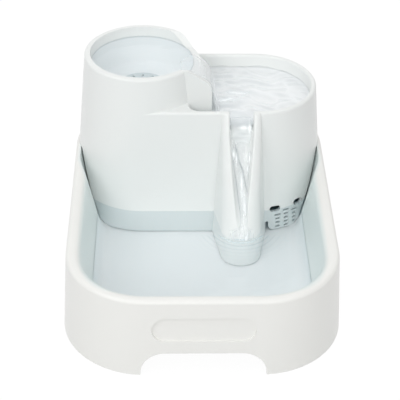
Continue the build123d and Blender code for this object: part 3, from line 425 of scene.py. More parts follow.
electrical_steel = Finish("electrical_steel", IOR=2.5, Metallic=1.0)
laminations = bands(electrical_steel, "X", LAMINATION, 0.4)
steel_tarnish = electrical_steel.noise(0.008, detail=4.0)
electrical_steel.paint(
    Base_Color=electrical_steel.blend(
        steel_tarnish, colour(0.40, 0.41, 0.43), colour(0.26, 0.25, 0.25)
    ),
    Roughness=0.34 + laminations * 0.2,
    Normal=electrical_steel.bump(laminations, 0.7, 0.0001),
)

copper_wire = Finish("copper_wire", IOR=1.5, Metallic=0.9)
turns = bands(copper_wire, "Y", WIRE_WIDTH, 0.8)
copper_wire.follow(turns, (0.34, 0.12, 0.05), (0.72, 0.32, 0.15), 0.45, 0.30)
copper_wire.paint(Normal=copper_wire.bump(turns, 0.8, 0.00015))

resin = Finish("resin", IOR=1.55)
resin_waves = resin.noise(0.009, detail=2.0)
resin.follow(resin_waves, (0.018, 0.018, 0.020), (0.034, 0.034, 0.036), 0.20, 0.35)
resin.paint(Normal=resin.bump(resin_waves, 0.5, 0.0003))

# %% [markdown]
# ## Sponge, foam and carbon
# Open-cell foam is all holes. Cells of about a millimetre come from a Voronoi pattern: dark in
# the middle of each cell, pale along the struts between them. The carbon bag is grey felt with
# the granules pressing through it.

# %% Filter media
def open_cells(name, hole, strut, cell):
    """Open-cell foam: dark holes of one size between paler struts."""
    finish = Finish(name, IOR=1.4)
    holes = finish.node(
        "ShaderNodeTexVoronoi",
        {"feature": "DISTANCE_TO_EDGE"},
        {"Vector": finish.place(), "Scale": 1.0 / cell},
    )
    struts = 1.0 - finish.rise(holes, 0.02, 0.22)
    finish.follow(struts, hole, strut, 0.85, 0.75)
    return finish.paint(Normal=finish.bump(struts, 1.0, cell * 0.5))


sponge = open_cells("sponge", (0.006, 0.007, 0.008), (0.075, 0.08, 0.09), 1.4 * MM)
foam = open_cells("foam", (0.46, 0.49, 0.52), (0.88, 0.90, 0.92), 0.9 * MM)

GRANULE = 2.2 * MM
carbon_felt = Finish("carbon_felt", IOR=1.45)
granules = carbon_felt.node(
    "ShaderNodeTexVoronoi", {}, {"Vector": carbon_felt.place(), "Scale": 1.0 / GRANULE}
)
fibres = carbon_felt.noise(0.0005, detail=3.0, point=carbon_felt.place(scale=(1.0, 0.3, 3.0)))
carbon_felt.follow(fibres, (0.035, 0.036, 0.038), (0.16, 0.16, 0.165), 0.90, 0.80)
carbon_felt.paint(Normal=carbon_felt.bump((1.0 - granules) * 0.7 + fibres * 0.3, 1.0, 0.0006))

# %% [markdown]
# ## Dressing the solids
# Each solid names a material slot in the imported record. Reading the slot from there, instead of
# listing the nodes again, keeps the finishes and the record in step; each finish bears its slot's
# name. The bowl and the tower have their own runs of the pale plastic, because each carries its
# painted shade in a different place, and the bowl's is a trace warmer.

# %% Finishes on the solids
others = [
    silicone, black_rubber, ceramic, ferrite, electrical_steel,
    copper_wire, resin, sponge, carbon_felt, foam,
]
finishes = plastics | {finish.name: finish for finish in others}
own_finishes = {"bowl": bowl_plastic, "tower": tower_plastic}
for row in frame["record"]["subparts"]:
    solid = nodes[row["node"]]
    solid.data.materials.clear()
    finish = own_finishes.get(row["node"], finishes[row["material_slot"]])
    solid.data.materials.append(finish.material)

# %% [markdown]
# ## Water
# Clear water in a white vessel is hardly seen. What one sees is a faint blue over the depth, a
# darker edge where the surface turns away, and bright lines where ripples catch the lamps. True
# refraction would need many samples to settle, so the water is a thin tinted skin instead: it
# lets most of the light through, darkens a little where it turns away, and a mirror laid over it
# by Fresnel's law gives the gloss. The faces that lie on the vessel are opaque. On the floor they
# carry a pale blue lighter than the plastic, painted light for the light that the water brings
# down to its bed; on the walls a darker blue, painted shade. Numbers written on the mesh say where
# the water foams or has a painted highlight, where it has painted shade, and where it thins out.

# %% Water finishes
# White of froth and of painted highlights, their painted glow, and the grey of painted shade.
FOAM_AND_HIGHLIGHT_WHITE = colour(0.93, 0.95, 0.96)
PAINTED_GLOW = colour(0.22, 0.23, 0.23)
FOAM_AND_HIGHLIGHT_COVER = 0.68  # how much of what is under it the foam hides
PAINTED_SHADE_GREY = colour(0.30, 0.36, 0.40)
PAINTED_SHADE_COVER = 0.35


def water_skin(name, tint, clear, edge, edge_tint, shine, wave_size, wave_depth):
    """Mostly see-through skin, denser at a grazing angle, with a mirror laid over it.

    Facing is 0 where the skin is seen square on and 1 at a grazing angle. The mirror's share
    follows Schlick's rule for water: two hundredths, plus the rest by facing to the fifth power.
    Three attributes of the piece change single places: foam whitens, for froth and for painted
    highlights, and adds a painted glow; painted_shade darkens with painted shade; and thin leaves
    nothing but the foam.
    """
    finish = Finish(name, IOR=1.33, Roughness=0.05, Emission_Strength=1.0)
    relief = finish.bump(finish.noise(wave_size, detail=2.0), 1.0, wave_depth)
    facing = finish.node("ShaderNodeLayerWeight", {}, {"Blend": 0.5, "Normal": relief}, output=1)
    foam, painted_shade, thin = [finish.attribute(name) for name in ("foam", "painted_shade", "thin")]
    turned = facing ** 2.5
    skin = finish.blend(turned, colour(*tint), colour(*edge_tint))
    veil = turned * (edge - clear) + clear
    finish.paint(
        Base_Color=finish.blend(foam, finish.blend(painted_shade, skin, PAINTED_SHADE_GREY), FOAM_AND_HIGHLIGHT_WHITE),
        Alpha=veil * (1.0 - thin) + foam * FOAM_AND_HIGHLIGHT_COVER + painted_shade * PAINTED_SHADE_COVER,
        Emission_Color=finish.blend(foam, colour(0.0, 0.0, 0.0), PAINTED_GLOW),
        Normal=relief,
    )
    mirror = finish.node(
        "ShaderNodeBsdfPrincipled",
        {},
        {"Base Color": colour(1.0, 1.0, 1.0), "Metallic": 1.0, "Roughness": 0.05, "Normal": relief},
    )
    finish.cover((0.02 + 0.98 * facing ** 5.0) * shine * (1.0 - thin), mirror)
    return finish


WATERS = [  # name, tint, cover square on and at the edge, edge's tint, shine, wave size and depth
    ("still_water", (0.24, 0.60, 0.74), 0.07, 0.12, (0.34, 0.58, 0.68), 0.9, 0.020, 0.0003),
    ("running_water", (0.70, 0.84, 0.90), 0.05, 0.20, (0.52, 0.64, 0.72), 1.8, 0.016, 0.0003),
    ("falling_sheet", (0.90, 0.94, 0.96), 0.10, 0.80, (0.91, 0.94, 0.96), 0.4, 0.012, 0.0001),
    ("white_water", (0.84, 0.89, 0.92), 0.11, 0.36, (0.46, 0.54, 0.60), 1.0, 0.010, 0.0003),
]
still_water, running_water, falling_sheet, white_water = [water_skin(*row) for row in WATERS]

# The bed's colour: pale blue on the floor, painted light, and darker blue on the walls, painted
# shade.
water_bed = Finish("water_bed", IOR=1.33)
bed_floor = water_bed.attribute("bed")
bed_clouds = water_bed.noise(0.05, detail=2.0)
bed_painted_light = water_bed.blend(bed_clouds, colour(0.955, 0.965, 0.965), colour(0.935, 0.950, 0.955))
water_bed.paint(
    Base_Color=water_bed.blend(bed_floor, colour(0.86, 0.91, 0.92), bed_painted_light),
    Roughness=0.35 + bed_clouds * 0.2,
)
print("water finishes:", ", ".join(row[0] for row in WATERS))

# %% [markdown]
# ## Outlines and skins
# Every body of standing water here has the same make-up: an outline, a flat bed, walls that
# follow the vessel and a rippled top. So one helper walks round a rectangle with rounded
# corners, and another carries that outline through a list of rings, from the middle of the bed
# out, up the wall and back in over the top. A closed skin like this has an inside and an outside.

# %% Outline and skin helpers
def new_piece(name, vertices, faces):
    """A smooth-shaded piece from rows of points and lists of corners, at the origin."""
    mesh = bpy.data.meshes.new(name)
    mesh.from_pydata(vertices.tolist(), [], faces)
    mesh.polygons.foreach_set("use_smooth", np.ones(len(mesh.polygons), bool))
    mesh.update()
    piece = bpy.data.objects.new(name, mesh)
    scene.collection.objects.link(piece)
    return piece


def rounded_outline(x0, x1, y0, y1, radii, points):
    """Points at even steps round a rectangle with rounded corners, anticlockwise from above.

    The four quarter circles are traced finely and joined by the straight sides, and the points
    are read off by the distance walked. The radii start with the front right corner's.
    """
    corners = np.array([(x1, y0), (x1, y1), (x0, y1), (x0, y0)])
    inward = np.array([(-1, 1), (-1, -1), (1, -1), (1, 1)])
    radius = np.array(radii, float)
    centres = corners + inward * radius[:, None]
    first_angles = np.radians([-90.0, 0.0, 90.0, 180.0])
    quarter = np.linspace(0.0, math.pi / 2, 65)
    dense = []
    for centre, reach, first_angle in zip(centres, radius, first_angles):
        angle = first_angle + quarter
        dense.append(centre + reach * np.column_stack([np.cos(angle), np.sin(angle)]))
    path = np.concatenate(dense + [dense[0][:1]])
    walked = np.concatenate([[0.0], np.cumsum(np.hypot(*np.diff(path, axis=0).T))])
    at = np.linspace(0.0, walked[-1], points, endpoint=False)
    return np.column_stack([np.interp(at, walked, path[:, 0]), np.interp(at, walked, path[:, 1])])


def ring_skin(name, rings, first_pole, last_pole):
    """A closed mesh from rings of equal length, with a fan of triangles at each end.

    Vertex i of ring k joins vertex i + 1 of the same ring and vertex i of ring k + 1. The rings
    run from the bed's middle outwards and up, so the faces look outwards.
    """
    count, around = rings.shape[:2]
    vertices = np.concatenate([rings.reshape(-1, 3), [first_pole], [last_pole]])
    here = np.arange(around)
    after = (here + 1) % around
    base = np.arange(count - 1)[:, None] * around
    quads = np.stack(
        [base + here, base + after, base + around + after, base + around + here], axis=-1
    ).reshape(-1, 4)
    last = (count - 1) * around
    bottom_fan = np.column_stack([after, here, np.full(around, count * around)])
    top_fan = np.column_stack([last + here, last + after, np.full(around, count * around + 1)])
    return new_piece(name, vertices, bottom_fan.tolist() + quads.tolist() + top_fan.tolist())


def finish_piece(piece, finish, body, bed_faces=0):
    """Gives a new piece its material, the bed's to its first faces, and the body it moves with."""
    piece.data.materials.append(finish.material)
    if bed_faces:
        piece.data.materials.append(water_bed.material)
        which = (np.arange(len(piece.data.polygons)) < bed_faces).astype(np.int32)
        piece.data.polygons.foreach_set("material_index", which)
    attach(piece, body)
    triangles = sum(len(face.vertices) - 2 for face in piece.data.polygons)
    print(piece.name, "rides on", body, "with", triangles, "triangles")


def mark(piece, name, values):
    """Writes a number on each vertex of a piece, or one on all, which its finish reads."""
    layer = piece.data.attributes.new(name, "FLOAT", "POINT")
    each = np.broadcast_to(np.ravel(values), len(layer.data))
    layer.data.foreach_set("value", np.clip(each, 0.0, 1.0).astype(np.float32))


def vertex_places(piece):
    """The x, y and z of every vertex of a piece."""
    flat = np.empty(len(piece.data.vertices) * 3, np.float32)
    piece.data.vertices.foreach_get("co", flat)
    return flat.reshape(-1, 3).T.astype(float)


def smooth_step(value):
    """0 below 0, 1 above 1, and a soft S between."""
    share = np.clip(value, 0.0, 1.0)
    return share * share * (3.0 - 2.0 * share)


def swell(x, y, seed, waves, shortest, longest, height):
    """Gentle random swell: a few plane waves with their own direction, length and phase."""
    dice = np.random.default_rng(seed)
    angle = dice.uniform(0.0, 2.0 * math.pi, waves)
    length = dice.uniform(shortest, longest, waves)
    phase = dice.uniform(0.0, 2.0 * math.pi, waves)
    along = np.multiply.outer(x, np.cos(angle)) + np.multiply.outer(y, np.sin(angle))
    return height * np.sin(2.0 * math.pi * along / length + phase).sum(axis=-1) / math.sqrt(waves)


# %% [markdown]
# ## Water in the bowl
# The bowl holds water to about a third of its depth. The basin's walls lean, so the outline
# grows with height. The surface is calm except round the chute, where the stream dives in and
# sends out tight rings that die within a few centimetres, and it curls up a little at the walls.

# %% Bowl water
BASIN_HALF_WIDTH = 99.0 * MM  # at the rim
BASIN_FRONT = -137.5 * MM
BASIN_BACK = 139.5 * MM
BASIN_FRONT_CORNER = 54.0 * MM
BASIN_BACK_CORNER = 57.0 * MM
BASIN_LEAN = 0.2149  # how far the wall leans in, per drop
RIM_HEIGHT = 71.5 * MM
BASIN_FLOOR = 11.0 * MM
FLOOR_CORNER = 8.0 * MM
SKIN_GAP = 0.3 * MM  # how far the water's skin keeps inside the vessel's
CHUTE_X = 35.0 * MM
FOOT_HALF = 14.9 * MM  # half width of the chute's foot, and its rounding, at the waterline
FOOT_ROUND = 14.4 * MM
FOOT_FRONT = -16.2 * MM
FOOT_SPREAD = 0.18  # how fast the foot widens towards the back
RING_SPACING = 4.8 * MM
RING_REACH = 7.0 * MM  # the distance in which the rings sink to about a third


def basin_outline(z, inset, points):
    """The basin's inside outline at a height: a rounded rectangle, stretched wider at the back."""
    lean = BASIN_LEAN * (RIM_HEIGHT - z) + inset
    half = BASIN_HALF_WIDTH - lean
    front_corner = BASIN_FRONT_CORNER - lean
    back_corner = BASIN_BACK_CORNER - lean
    radii = [front_corner, back_corner, back_corner, front_corner]
    outline = rounded_outline(-half, half, BASIN_FRONT + lean, BASIN_BACK - lean, radii, points)
    widened = np.clip((outline[:, 1] - WELL_START) / (WELL_FULL - WELL_START), 0.0, 1.0)
    outline[:, 0] *= 1.0 + widened * WELL_WIDENING / half
    return outline


def chute_distance(x, y):
    """How far a point of the surface is from the chute's rounded foot."""
    half = FOOT_HALF + FOOT_SPREAD * np.maximum(y - FOOT_FRONT, 0.0)
    beside = np.maximum(np.abs(x - CHUTE_X) - (half - FOOT_ROUND), 0.0)
    ahead = np.maximum(FOOT_FRONT + FOOT_ROUND - y, 0.0)
    return np.maximum(np.hypot(beside, ahead) - FOOT_ROUND, 0.0)


def bowl_surface(x, y):
    """Height of the bowl's water: rings round the chute's foot, dying out, on a faint swell."""
    away = chute_distance(x, y)
    uneven = 1.0 + 0.5 * np.sin(x / (2.3 * MM)) * np.sin(y / (3.1 * MM) + 1.0)
    rings = np.cos(2.0 * math.pi * away / RING_SPACING) * np.exp(-away / RING_REACH)
    rings = rings * 0.45 * MM * uneven
    wide_rings = np.cos(2.0 * math.pi * away / (11.0 * MM) + 1.0) * np.exp(-away / (30.0 * MM))
    return rings + wide_rings * 0.10 * MM + swell(x, y, 4, 7, 18 * MM, 45 * MM, 0.04 * MM)


def standing_water(
    name, outline_at, steps, level, surface, middle, points, top_rings, bed_gap=SKIN_GAP
):
    """A closed body of water from its bed to its rippled top, and its number of bed faces.

    The steps are heights up the vessel's wall, each with how far inside the vessel's outline
    the skin lies there. The top's rings are the outline at the water's level, drawn in towards
    the middle and lifted by the surface function, with a short curl up the wall.
    """
    bed_outline = outline_at(*steps[0], points)
    bed_height = steps[0][0] + bed_gap
    rings = []
    for share in (0.33, 0.66, 1.0):
        drawn = middle + (bed_outline - middle) * share
        rings.append(np.column_stack([drawn, np.full(points, bed_height)]))
    top_outline = outline_at(level, SKIN_GAP, points)
    edge_height = level + surface(top_outline[:, 0], top_outline[:, 1])
    for height, inset in steps[1:] + [(level - MM, SKIN_GAP)]:
        below_top = np.minimum(height, np.maximum(edge_height, bed_height + 0.1 * MM))
        rings.append(np.column_stack([outline_at(height, inset, points), below_top]))
    shares = np.linspace(1.0, 0.0, top_rings, endpoint=False)
    spread = middle + (top_outline - middle) * shares[:, None, None]
    edge = np.hypot(*np.moveaxis(spread - top_outline, -1, 0))
    curl = 0.5 * MM * np.exp(-edge / (1.2 * MM))
    height = level + surface(spread[..., 0], spread[..., 1]) + curl
    top = np.concatenate([spread, height[..., None]], axis=-1)
    top_middle = float(level + surface(*middle))
    poles = (*middle, bed_height), (*middle, top_middle)
    return ring_skin(name, np.concatenate([np.array(rings), top]), *poles), len(rings) * points


bowl_steps = [
    (BASIN_FLOOR, FLOOR_CORNER + SKIN_GAP),
    (13.5 * MM, 2.6 * MM + SKIN_GAP),
    (BASIN_FLOOR + FLOOR_CORNER, SKIN_GAP),
]
bowl_water, bed_faces = standing_water(
    "bowl_water", basin_outline, bowl_steps, WATER_LEVEL, bowl_surface,
    middle=np.array([CHUTE_X, -20.0 * MM]), points=560, top_rings=110,
)
bowl_x, bowl_y, bowl_z = vertex_places(bowl_water)
from_foot = chute_distance(bowl_x, bowl_y)
foot_crests = np.clip(np.cos(2.0 * math.pi * from_foot / RING_SPACING), 0.0, 1.0) ** 2
in_front = smooth_step((-8.0 * MM - bowl_y) / (5.0 * MM))
# Foam on the ring crests in front of the chute: part froth, part painted highlight.
mark(bowl_water, "foam", foot_crests * np.exp(-from_foot / RING_REACH) * in_front)
# bed is 1 on the floor, where the bed is painted light, and 0 up the walls, where it is painted
# shade.
mark(bowl_water, "bed", smooth_step((26.0 * MM - bowl_z) / (12.0 * MM)))
finish_piece(bowl_water, still_water, "bowl", bed_faces)

# %% [markdown]
# ## Water in the cup
# The pump pushes the water up through the slotted disc in the cup's floor. It rises in a broad
# low dome over the disc, and slow rings run from there to the wall.

# %% Cup water
END_X = 50.1 * MM  # how far left and right the tower's round ends have their middles
TOWER_Y = 87.1 * MM
CUP_FLOOR = 124.0 * MM
CUP_RADIUS = 44.0 * MM  # at its floor
WALL_GROWTH = 0.0349  # how far the cup's and the tray's walls lean outwards, per rise
CUP_LEVEL = 150.6 * MM
cup_middle = np.array([-END_X, TOWER_Y])


def cup_outline(z, inset, points):
    """The cup's inside circle at a height."""
    radius = CUP_RADIUS + WALL_GROWTH * (z - CUP_FLOOR) - inset
    x, y = cup_middle
    return rounded_outline(x - radius, x + radius, y - radius, y + radius, [radius] * 4, points)


def cup_surface(x, y):
    """A low dome over the outlet, with slow rings round it."""
    away = np.hypot(x - cup_middle[0], y - cup_middle[1])
    dome = 0.7 * MM * np.exp(-((away / (16.0 * MM)) ** 2))
    rings = 0.10 * MM * np.cos(2.0 * math.pi * away / (9.0 * MM)) * np.exp(-away / (24.0 * MM))
    return dome + rings + swell(x, y, 9, 7, 14 * MM, 34 * MM, 0.05 * MM)


cup_steps = [
    (CUP_FLOOR, 3.0 * MM),
    (CUP_FLOOR + 1.0 * MM, 1.2 * MM),
    (CUP_FLOOR + 3.0 * MM, SKIN_GAP),
]
cup_water, bed_faces = standing_water(
    "cup_water", cup_outline, cup_steps, CUP_LEVEL, cup_surface,
    middle=cup_middle, points=300, top_rings=60,
)
# bed: mostly the floor's painted light, with a trace of the walls' painted shade.
mark(cup_water, "bed", 0.85)
finish_piece(cup_water, still_water, "tower", bed_faces)

# %% [markdown]
# ## Water in the tray
# The sheet that falls from the cup's lip hits the tray and churns it. The waves start along the
# foot of the lip and run across to the far wall and the chute's mouth, crossing each other on
# the way, so they are steep near the lip and flatter at the right end.

# %% Tray water
TRAY_FLOOR = 112.0 * MM
TRAY_LEVEL = 117.7 * MM
TRAY_END_RADIUS = 47.7 * MM  # at its floor
TRAY_LEFT = -9.0 * MM
TRAY_CORNER = 9.0 * MM
LIP_FACE = 9.9 * MM  # where the lip ends, to the right
WAVE_SPACING = 17.0 * MM
MOUTH_START = 52.0 * MM  # in front of this the tray's water turns down into the chute


def tray_outline(z, inset, points):
    """The tray's inside outline at a height: square on the left, a half circle on the right."""
    radius = TRAY_END_RADIUS + WALL_GROWTH * (z - TRAY_FLOOR) - inset
    left = TRAY_LEFT - WALL_GROWTH * (z - TRAY_FLOOR) + inset
    corner = TRAY_CORNER - inset
    radii = [radius, radius, corner, corner]
    return rounded_outline(left, END_X + radius, TOWER_Y - radius, TOWER_Y + radius, radii, points)


def tray_surface(x, y):
    """Long bent waves that run along the tray, over a crossing chop that the sheet stirs up."""
    from_lip = x - (LIP_FACE + 6.0 * MM)
    strength = np.exp(-np.maximum(from_lip, 0.0) / (34.0 * MM))
    bend = y + 4.5 * MM * np.sin(x / (8.0 * MM))
    bend += 2.5 * MM * np.sin(x / (5.0 * MM) + y / (8.0 * MM))
    phase = bend / WAVE_SPACING * 2.0 * math.pi + 1.2 * np.sin(y / (9.0 * MM))
    marching = 0.60 * MM * np.sin(phase) * (0.6 + 0.6 * strength)
    chop = swell(x, y, 21, 12, 9 * MM, 24 * MM, 0.36 * MM) * (0.5 + 0.9 * strength)
    to_mouth = np.hypot(x - CHUTE_X, y - 40.0 * MM)
    draw_down = -1.9 * MM * np.exp(-((to_mouth / (12.0 * MM)) ** 2))
    calm = 1.0 - 0.6 * np.exp(-((to_mouth / (9.0 * MM)) ** 2))
    in_mouth = smooth_step((11.5 * MM - np.abs(x - CHUTE_X)) / (2.0 * MM))
    dive = -3.2 * MM * smooth_step((MOUTH_START - y) / (12.0 * MM)) * in_mouth
    return (marching + chop) * calm + draw_down + dive


tray_water, bed_faces = standing_water(
    "tray_water", tray_outline, [(TRAY_FLOOR, SKIN_GAP)], TRAY_LEVEL, tray_surface,
    middle=np.array([45.0 * MM, TOWER_Y]), points=460, top_rings=110, bed_gap=0.05 * MM,
)
tray_x, tray_y = vertex_places(tray_water)[:2]
SLOPE_REACH = 0.2 * MM
behind = tray_surface(tray_x, tray_y + SLOPE_REACH)
before = tray_surface(tray_x, tray_y - SLOPE_REACH)
slope = (behind - before) / (2.0 * SLOPE_REACH)
out_of_mouth = smooth_step((tray_y - MOUTH_START) / (6.0 * MM))
landing = np.hypot((tray_x - 30.0 * MM) / (15.0 * MM), (tray_y - 79.0 * MM) / (11.0 * MM))
# Painted highlight on the wave slopes that face the back, strongest where the sheet lands.
painted_light_side = np.clip(-slope * 2.6 - 0.2, 0.0, 1.0) * (0.30 + 0.70 * np.exp(-(landing ** 2)))
SPLASHES = np.array([  # place across and back, reach across and back
    (24.0, 76.5, 10.0, 2.8),
    (33.5, 87.5, 10.0, 2.4),
]) * MM
bent_y = tray_y + 1.2 * MM * np.sin(tray_x / (2.6 * MM))
off_x = (tray_x[:, None] - SPLASHES[:, 0]) / SPLASHES[:, 2]
off_y = (bent_y[:, None] - SPLASHES[:, 1]) / SPLASHES[:, 3]
splashes = np.exp(-(off_x ** 2) - off_y ** 2).sum(axis=-1) * 0.8
# foam: the painted highlights, the froth where the sheet lands, and a faint white in the mouth.
mark(tray_water, "foam", (painted_light_side + splashes) * out_of_mouth + 0.2 * (1.0 - out_of_mouth))
# Painted shade on the wave slopes that face the front.
mark(tray_water, "painted_shade", np.clip(slope * 2.5 - 0.15, 0.0, 1.0) * 0.38 * out_of_mouth)
mark(tray_water, "bed", 1.0)
finish_piece(tray_water, running_water, "tower", bed_faces)

# %% [markdown]
# ## The sheet over the lip
# From the cup the water slides over a rounded lip and drops into the tray. Its path is the same
# all along the lip: level out to the edge, round a quarter circle, then down and slightly away.
# So the sheet is one profile carried along the lip's edge, which is straight in front and turns
# a wide corner at the back. Faint streaks run down it where the flow is thicker, air whitens it
# as it falls, and at both ends it thins out to nothing.

# %% Lip sheet
LIP_LEVEL = 149.6 * MM
LIP_ROUND = 12.0 * MM
LIP_CORNER = 29.0 * MM
LIP_FRONT_Y = 54.8 * MM
LIP_TURN_Y = 83.0 * MM
LIP_TURN = math.radians(56.0)  # how far round the back corner the water reaches
ROLL_START = 0.33  # shares of the way at which the sheet leaves the level and falls free
ROLL_END = 0.55
SHEET_THICKNESS = 1.0 * MM
SHEET_THROW = 6.5 * MM  # how far the sheet's outside stands off at the tray


def strip_skin(name, outside, inside):
    """A closed mesh between two grids of equal shape: an outer and an inner surface.

    Both grids run along the flow in their first direction and across it in their second. Their
    four borders are joined edge to edge.
    """
    rows, columns = outside.shape[:2]
    grid = np.arange(rows * columns).reshape(rows, columns)
    near_left, near_right = grid[:-1, :-1], grid[:-1, 1:]
    far_left, far_right = grid[1:, :-1], grid[1:, 1:]
    over = np.stack([near_left, far_left, far_right, near_right], axis=-1).reshape(-1, 4)
    under = np.stack([near_left, near_right, far_right, far_left], axis=-1).reshape(-1, 4)
    border = np.concatenate([grid[0, :], grid[1:, -1], grid[-1, -2::-1], grid[-2:0:-1, 0]])
    below = border + grid.size
    sides = np.stack([border, np.roll(border, -1), np.roll(below, -1), below], axis=-1)
    vertices = np.concatenate([outside.reshape(-1, 3), inside.reshape(-1, 3)])
    return new_piece(name, vertices, np.concatenate([over, under + grid.size, sides]).tolist())


def lip_edge(share):
    """Point on the lip's outer face in plan, and the outward direction there."""
    straight = LIP_TURN_Y - LIP_FRONT_Y
    bend = LIP_CORNER * LIP_TURN
    walked = share * (straight + bend)
    angle = np.maximum(walked - straight, 0.0) / LIP_CORNER
    x = LIP_FACE - LIP_CORNER + LIP_CORNER * np.cos(angle)
    y = LIP_FRONT_Y + np.minimum(walked, straight) + LIP_CORNER * np.sin(angle)
    return x, y, np.cos(angle), np.sin(angle)


def lip_profile(along, offset, throw):
    """Distance out from the lip's face and height, for a film at an offset from the lip.

    The first third is level, the next fifth rolls over the quarter circle, and the rest falls,
    thrown outwards fast at first and then more slowly.
    """
    radius = LIP_ROUND + offset
    roll = np.clip((along - ROLL_START) / (ROLL_END - ROLL_START), 0.0, 1.0) * math.pi / 2
    level = np.clip(1.0 - along / ROLL_START, 0.0, 1.0)
    fall = np.clip((along - ROLL_END) / (1.0 - ROLL_END), 0.0, 1.0)
    out = -LIP_ROUND - level * 14.0 * MM + radius * np.sin(roll) + throw * fall ** 0.7
    drop = LIP_LEVEL - LIP_ROUND - (TRAY_LEVEL - 2.0 * MM)
    height = LIP_LEVEL - LIP_ROUND + radius * np.cos(roll) - fall * drop
    return out, height


along = np.linspace(0.0, 1.0, 90)[:, None]
across = np.linspace(0.0, 1.0, 150)[None, :]
edge_x, edge_y, out_x, out_y = lip_edge(across)
streaks = (
    np.sin(across * 61.0 + 1.1 * np.sin(along * 5.0))
    + np.sin(across * 23.0 - 1.7 * along)
    + 0.6 * np.sin(across * 103.0 + 2.0 * along)
)
grown = 0.15 + smooth_step((along - 0.3) / 0.5)
thickness = SHEET_THICKNESS + 0.14 * MM * streaks * grown
throw = SHEET_THROW * (1.0 - 0.45 * across) + 0.12 * MM * streaks
outer_out, outer_height = lip_profile(along, thickness, throw)
inner_out, inner_height = lip_profile(along, 0.15 * MM + 0.0 * across, throw - 2.2 * MM)
ends = np.minimum(smooth_step(across / 0.03), smooth_step((1.0 - across) / 0.10))
kept = 0.12 + 0.88 * ends  # share of its thickness that the sheet keeps at its ends
outer_out = inner_out + (outer_out - inner_out) * kept
outer_height = inner_height + (outer_height - inner_height) * kept


def along_lip(out, height):
    """Places a profile's points beside the lip's edge."""
    x = edge_x + out_x * out
    y = edge_y + out_y * out
    return np.stack([x, y, height + 0.0 * x], axis=-1)


outer_face = along_lip(outer_out, outer_height)
inner_face = along_lip(inner_out, inner_height)
lip_sheet = strip_skin("lip_sheet", outer_face, inner_face)
everywhere = np.ones((len(along), across.shape[1]))
air_in_sheet = 0.35 * smooth_step((along - 0.50) / 0.25) * everywhere
worn_ends = 0.8 * (1.0 - ends) * everywhere
for name, values in (("foam", air_in_sheet), ("thin", worn_ends)):
    mark(lip_sheet, name, [values, values])
finish_piece(lip_sheet, falling_sheet, "tower")

# %% [markdown]
# ## The stream in the chute
# The tray empties through the chute's mouth. The stream drops over the edge in a short smooth
# curve, then runs down the channel, which narrows until it meets the chute's face. Squeezed like
# that, the water piles into two ropes that cross and merge, and at the waterline it fans out.
# So the stream is a strip laid along a path: a height over the bed at each distance down and
# across, with the bed itself as its underside.

# %% Path of the chute's bed
# The four places: in the tray, on its edge, at the channel's end and under the bowl's water.
PATH_Y = np.array([50.0, 38.8, -14.96, -16.5]) * MM
PATH_Z = np.array([112.0, 112.0, 35.0, 31.8]) * MM
HALF_WIDTH = np.array([10.0, 10.0, 4.2, 4.2]) * MM  # of the stream
path_walked = np.concatenate([[0.0], np.cumsum(np.hypot(np.diff(PATH_Y), np.diff(PATH_Z)))])
CHANNEL_LENGTH = path_walked[2] - path_walked[1]

down = np.linspace(0.0, path_walked[-1], 300)[:, None]
side = np.linspace(-1.0, 1.0, 81)[None, :]
bed_y = np.interp(down, path_walked, PATH_Y)
bed_z = np.interp(down, path_walked, PATH_Z)
half_width = np.interp(down, path_walked, HALF_WIDTH)
fallen = np.clip((down - path_walked[1]) / CHANNEL_LENGTH, 0.0, 1.0)  # from the edge to the end

bed_slope = math.atan2(PATH_Z[1] - PATH_Z[2], PATH_Y[1] - PATH_Y[2])
tilt = bed_slope * smooth_step((down - path_walked[1] + 3.0 * MM) / (12.0 * MM))
lift_y, lift_z = -np.sin(tilt), np.cos(tilt)
print("stream path", round(path_walked[-1] / MM, 1), "mm")

# %% [markdown]
# The stream isn't even across. Its edges draw in as it speeds up, and a fold runs slantwise over
# it from the left rail to the right one, with a swollen strand on either side. Each of these is
# a number read off down the fall, so a few places and values describe the whole course.

# %% Edges and strands of the stream
def reading(places, values):
    """A value at each distance down the fall, read off between a few places from 0 to 1."""
    return np.interp(fallen, places, values)


def arched(low, high):
    """A half ellipse across the stream from one side to another, 0 outside them."""
    centre = (low + high) / 2.0
    reach = np.maximum((high - low) / 2.0, 0.02)
    return np.sqrt(np.maximum(1.0 - ((side - centre) / reach) ** 2, 0.0))


def line_at(centre, width):
    """A narrow line along the stream: 1 on its middle, fading to both sides."""
    return np.exp(-(((side - centre) / width) ** 2))


left_edge = reading(
    [0.0, 0.30, 0.39, 0.48, 0.57, 0.66, 0.78, 0.90, 1.0],
    [-1.0, -1.0, -0.92, -0.70, -0.60, -0.50, -0.28, -0.25, -0.6],
)
right_edge = reading(
    [0.0, 0.25, 0.39, 0.53, 0.66, 0.80, 1.0], [1.0, 1.0, 0.95, 0.85, 1.0, 1.15, 1.1]
)
fold_line = reading(
    [0.10, 0.23, 0.33, 0.39, 0.45, 0.55, 0.66], [-0.60, -0.45, -0.16, 0.12, 0.25, 0.63, 1.0]
)
spread = smooth_step((down - path_walked[2] + 9.0 * MM) / (6.0 * MM))

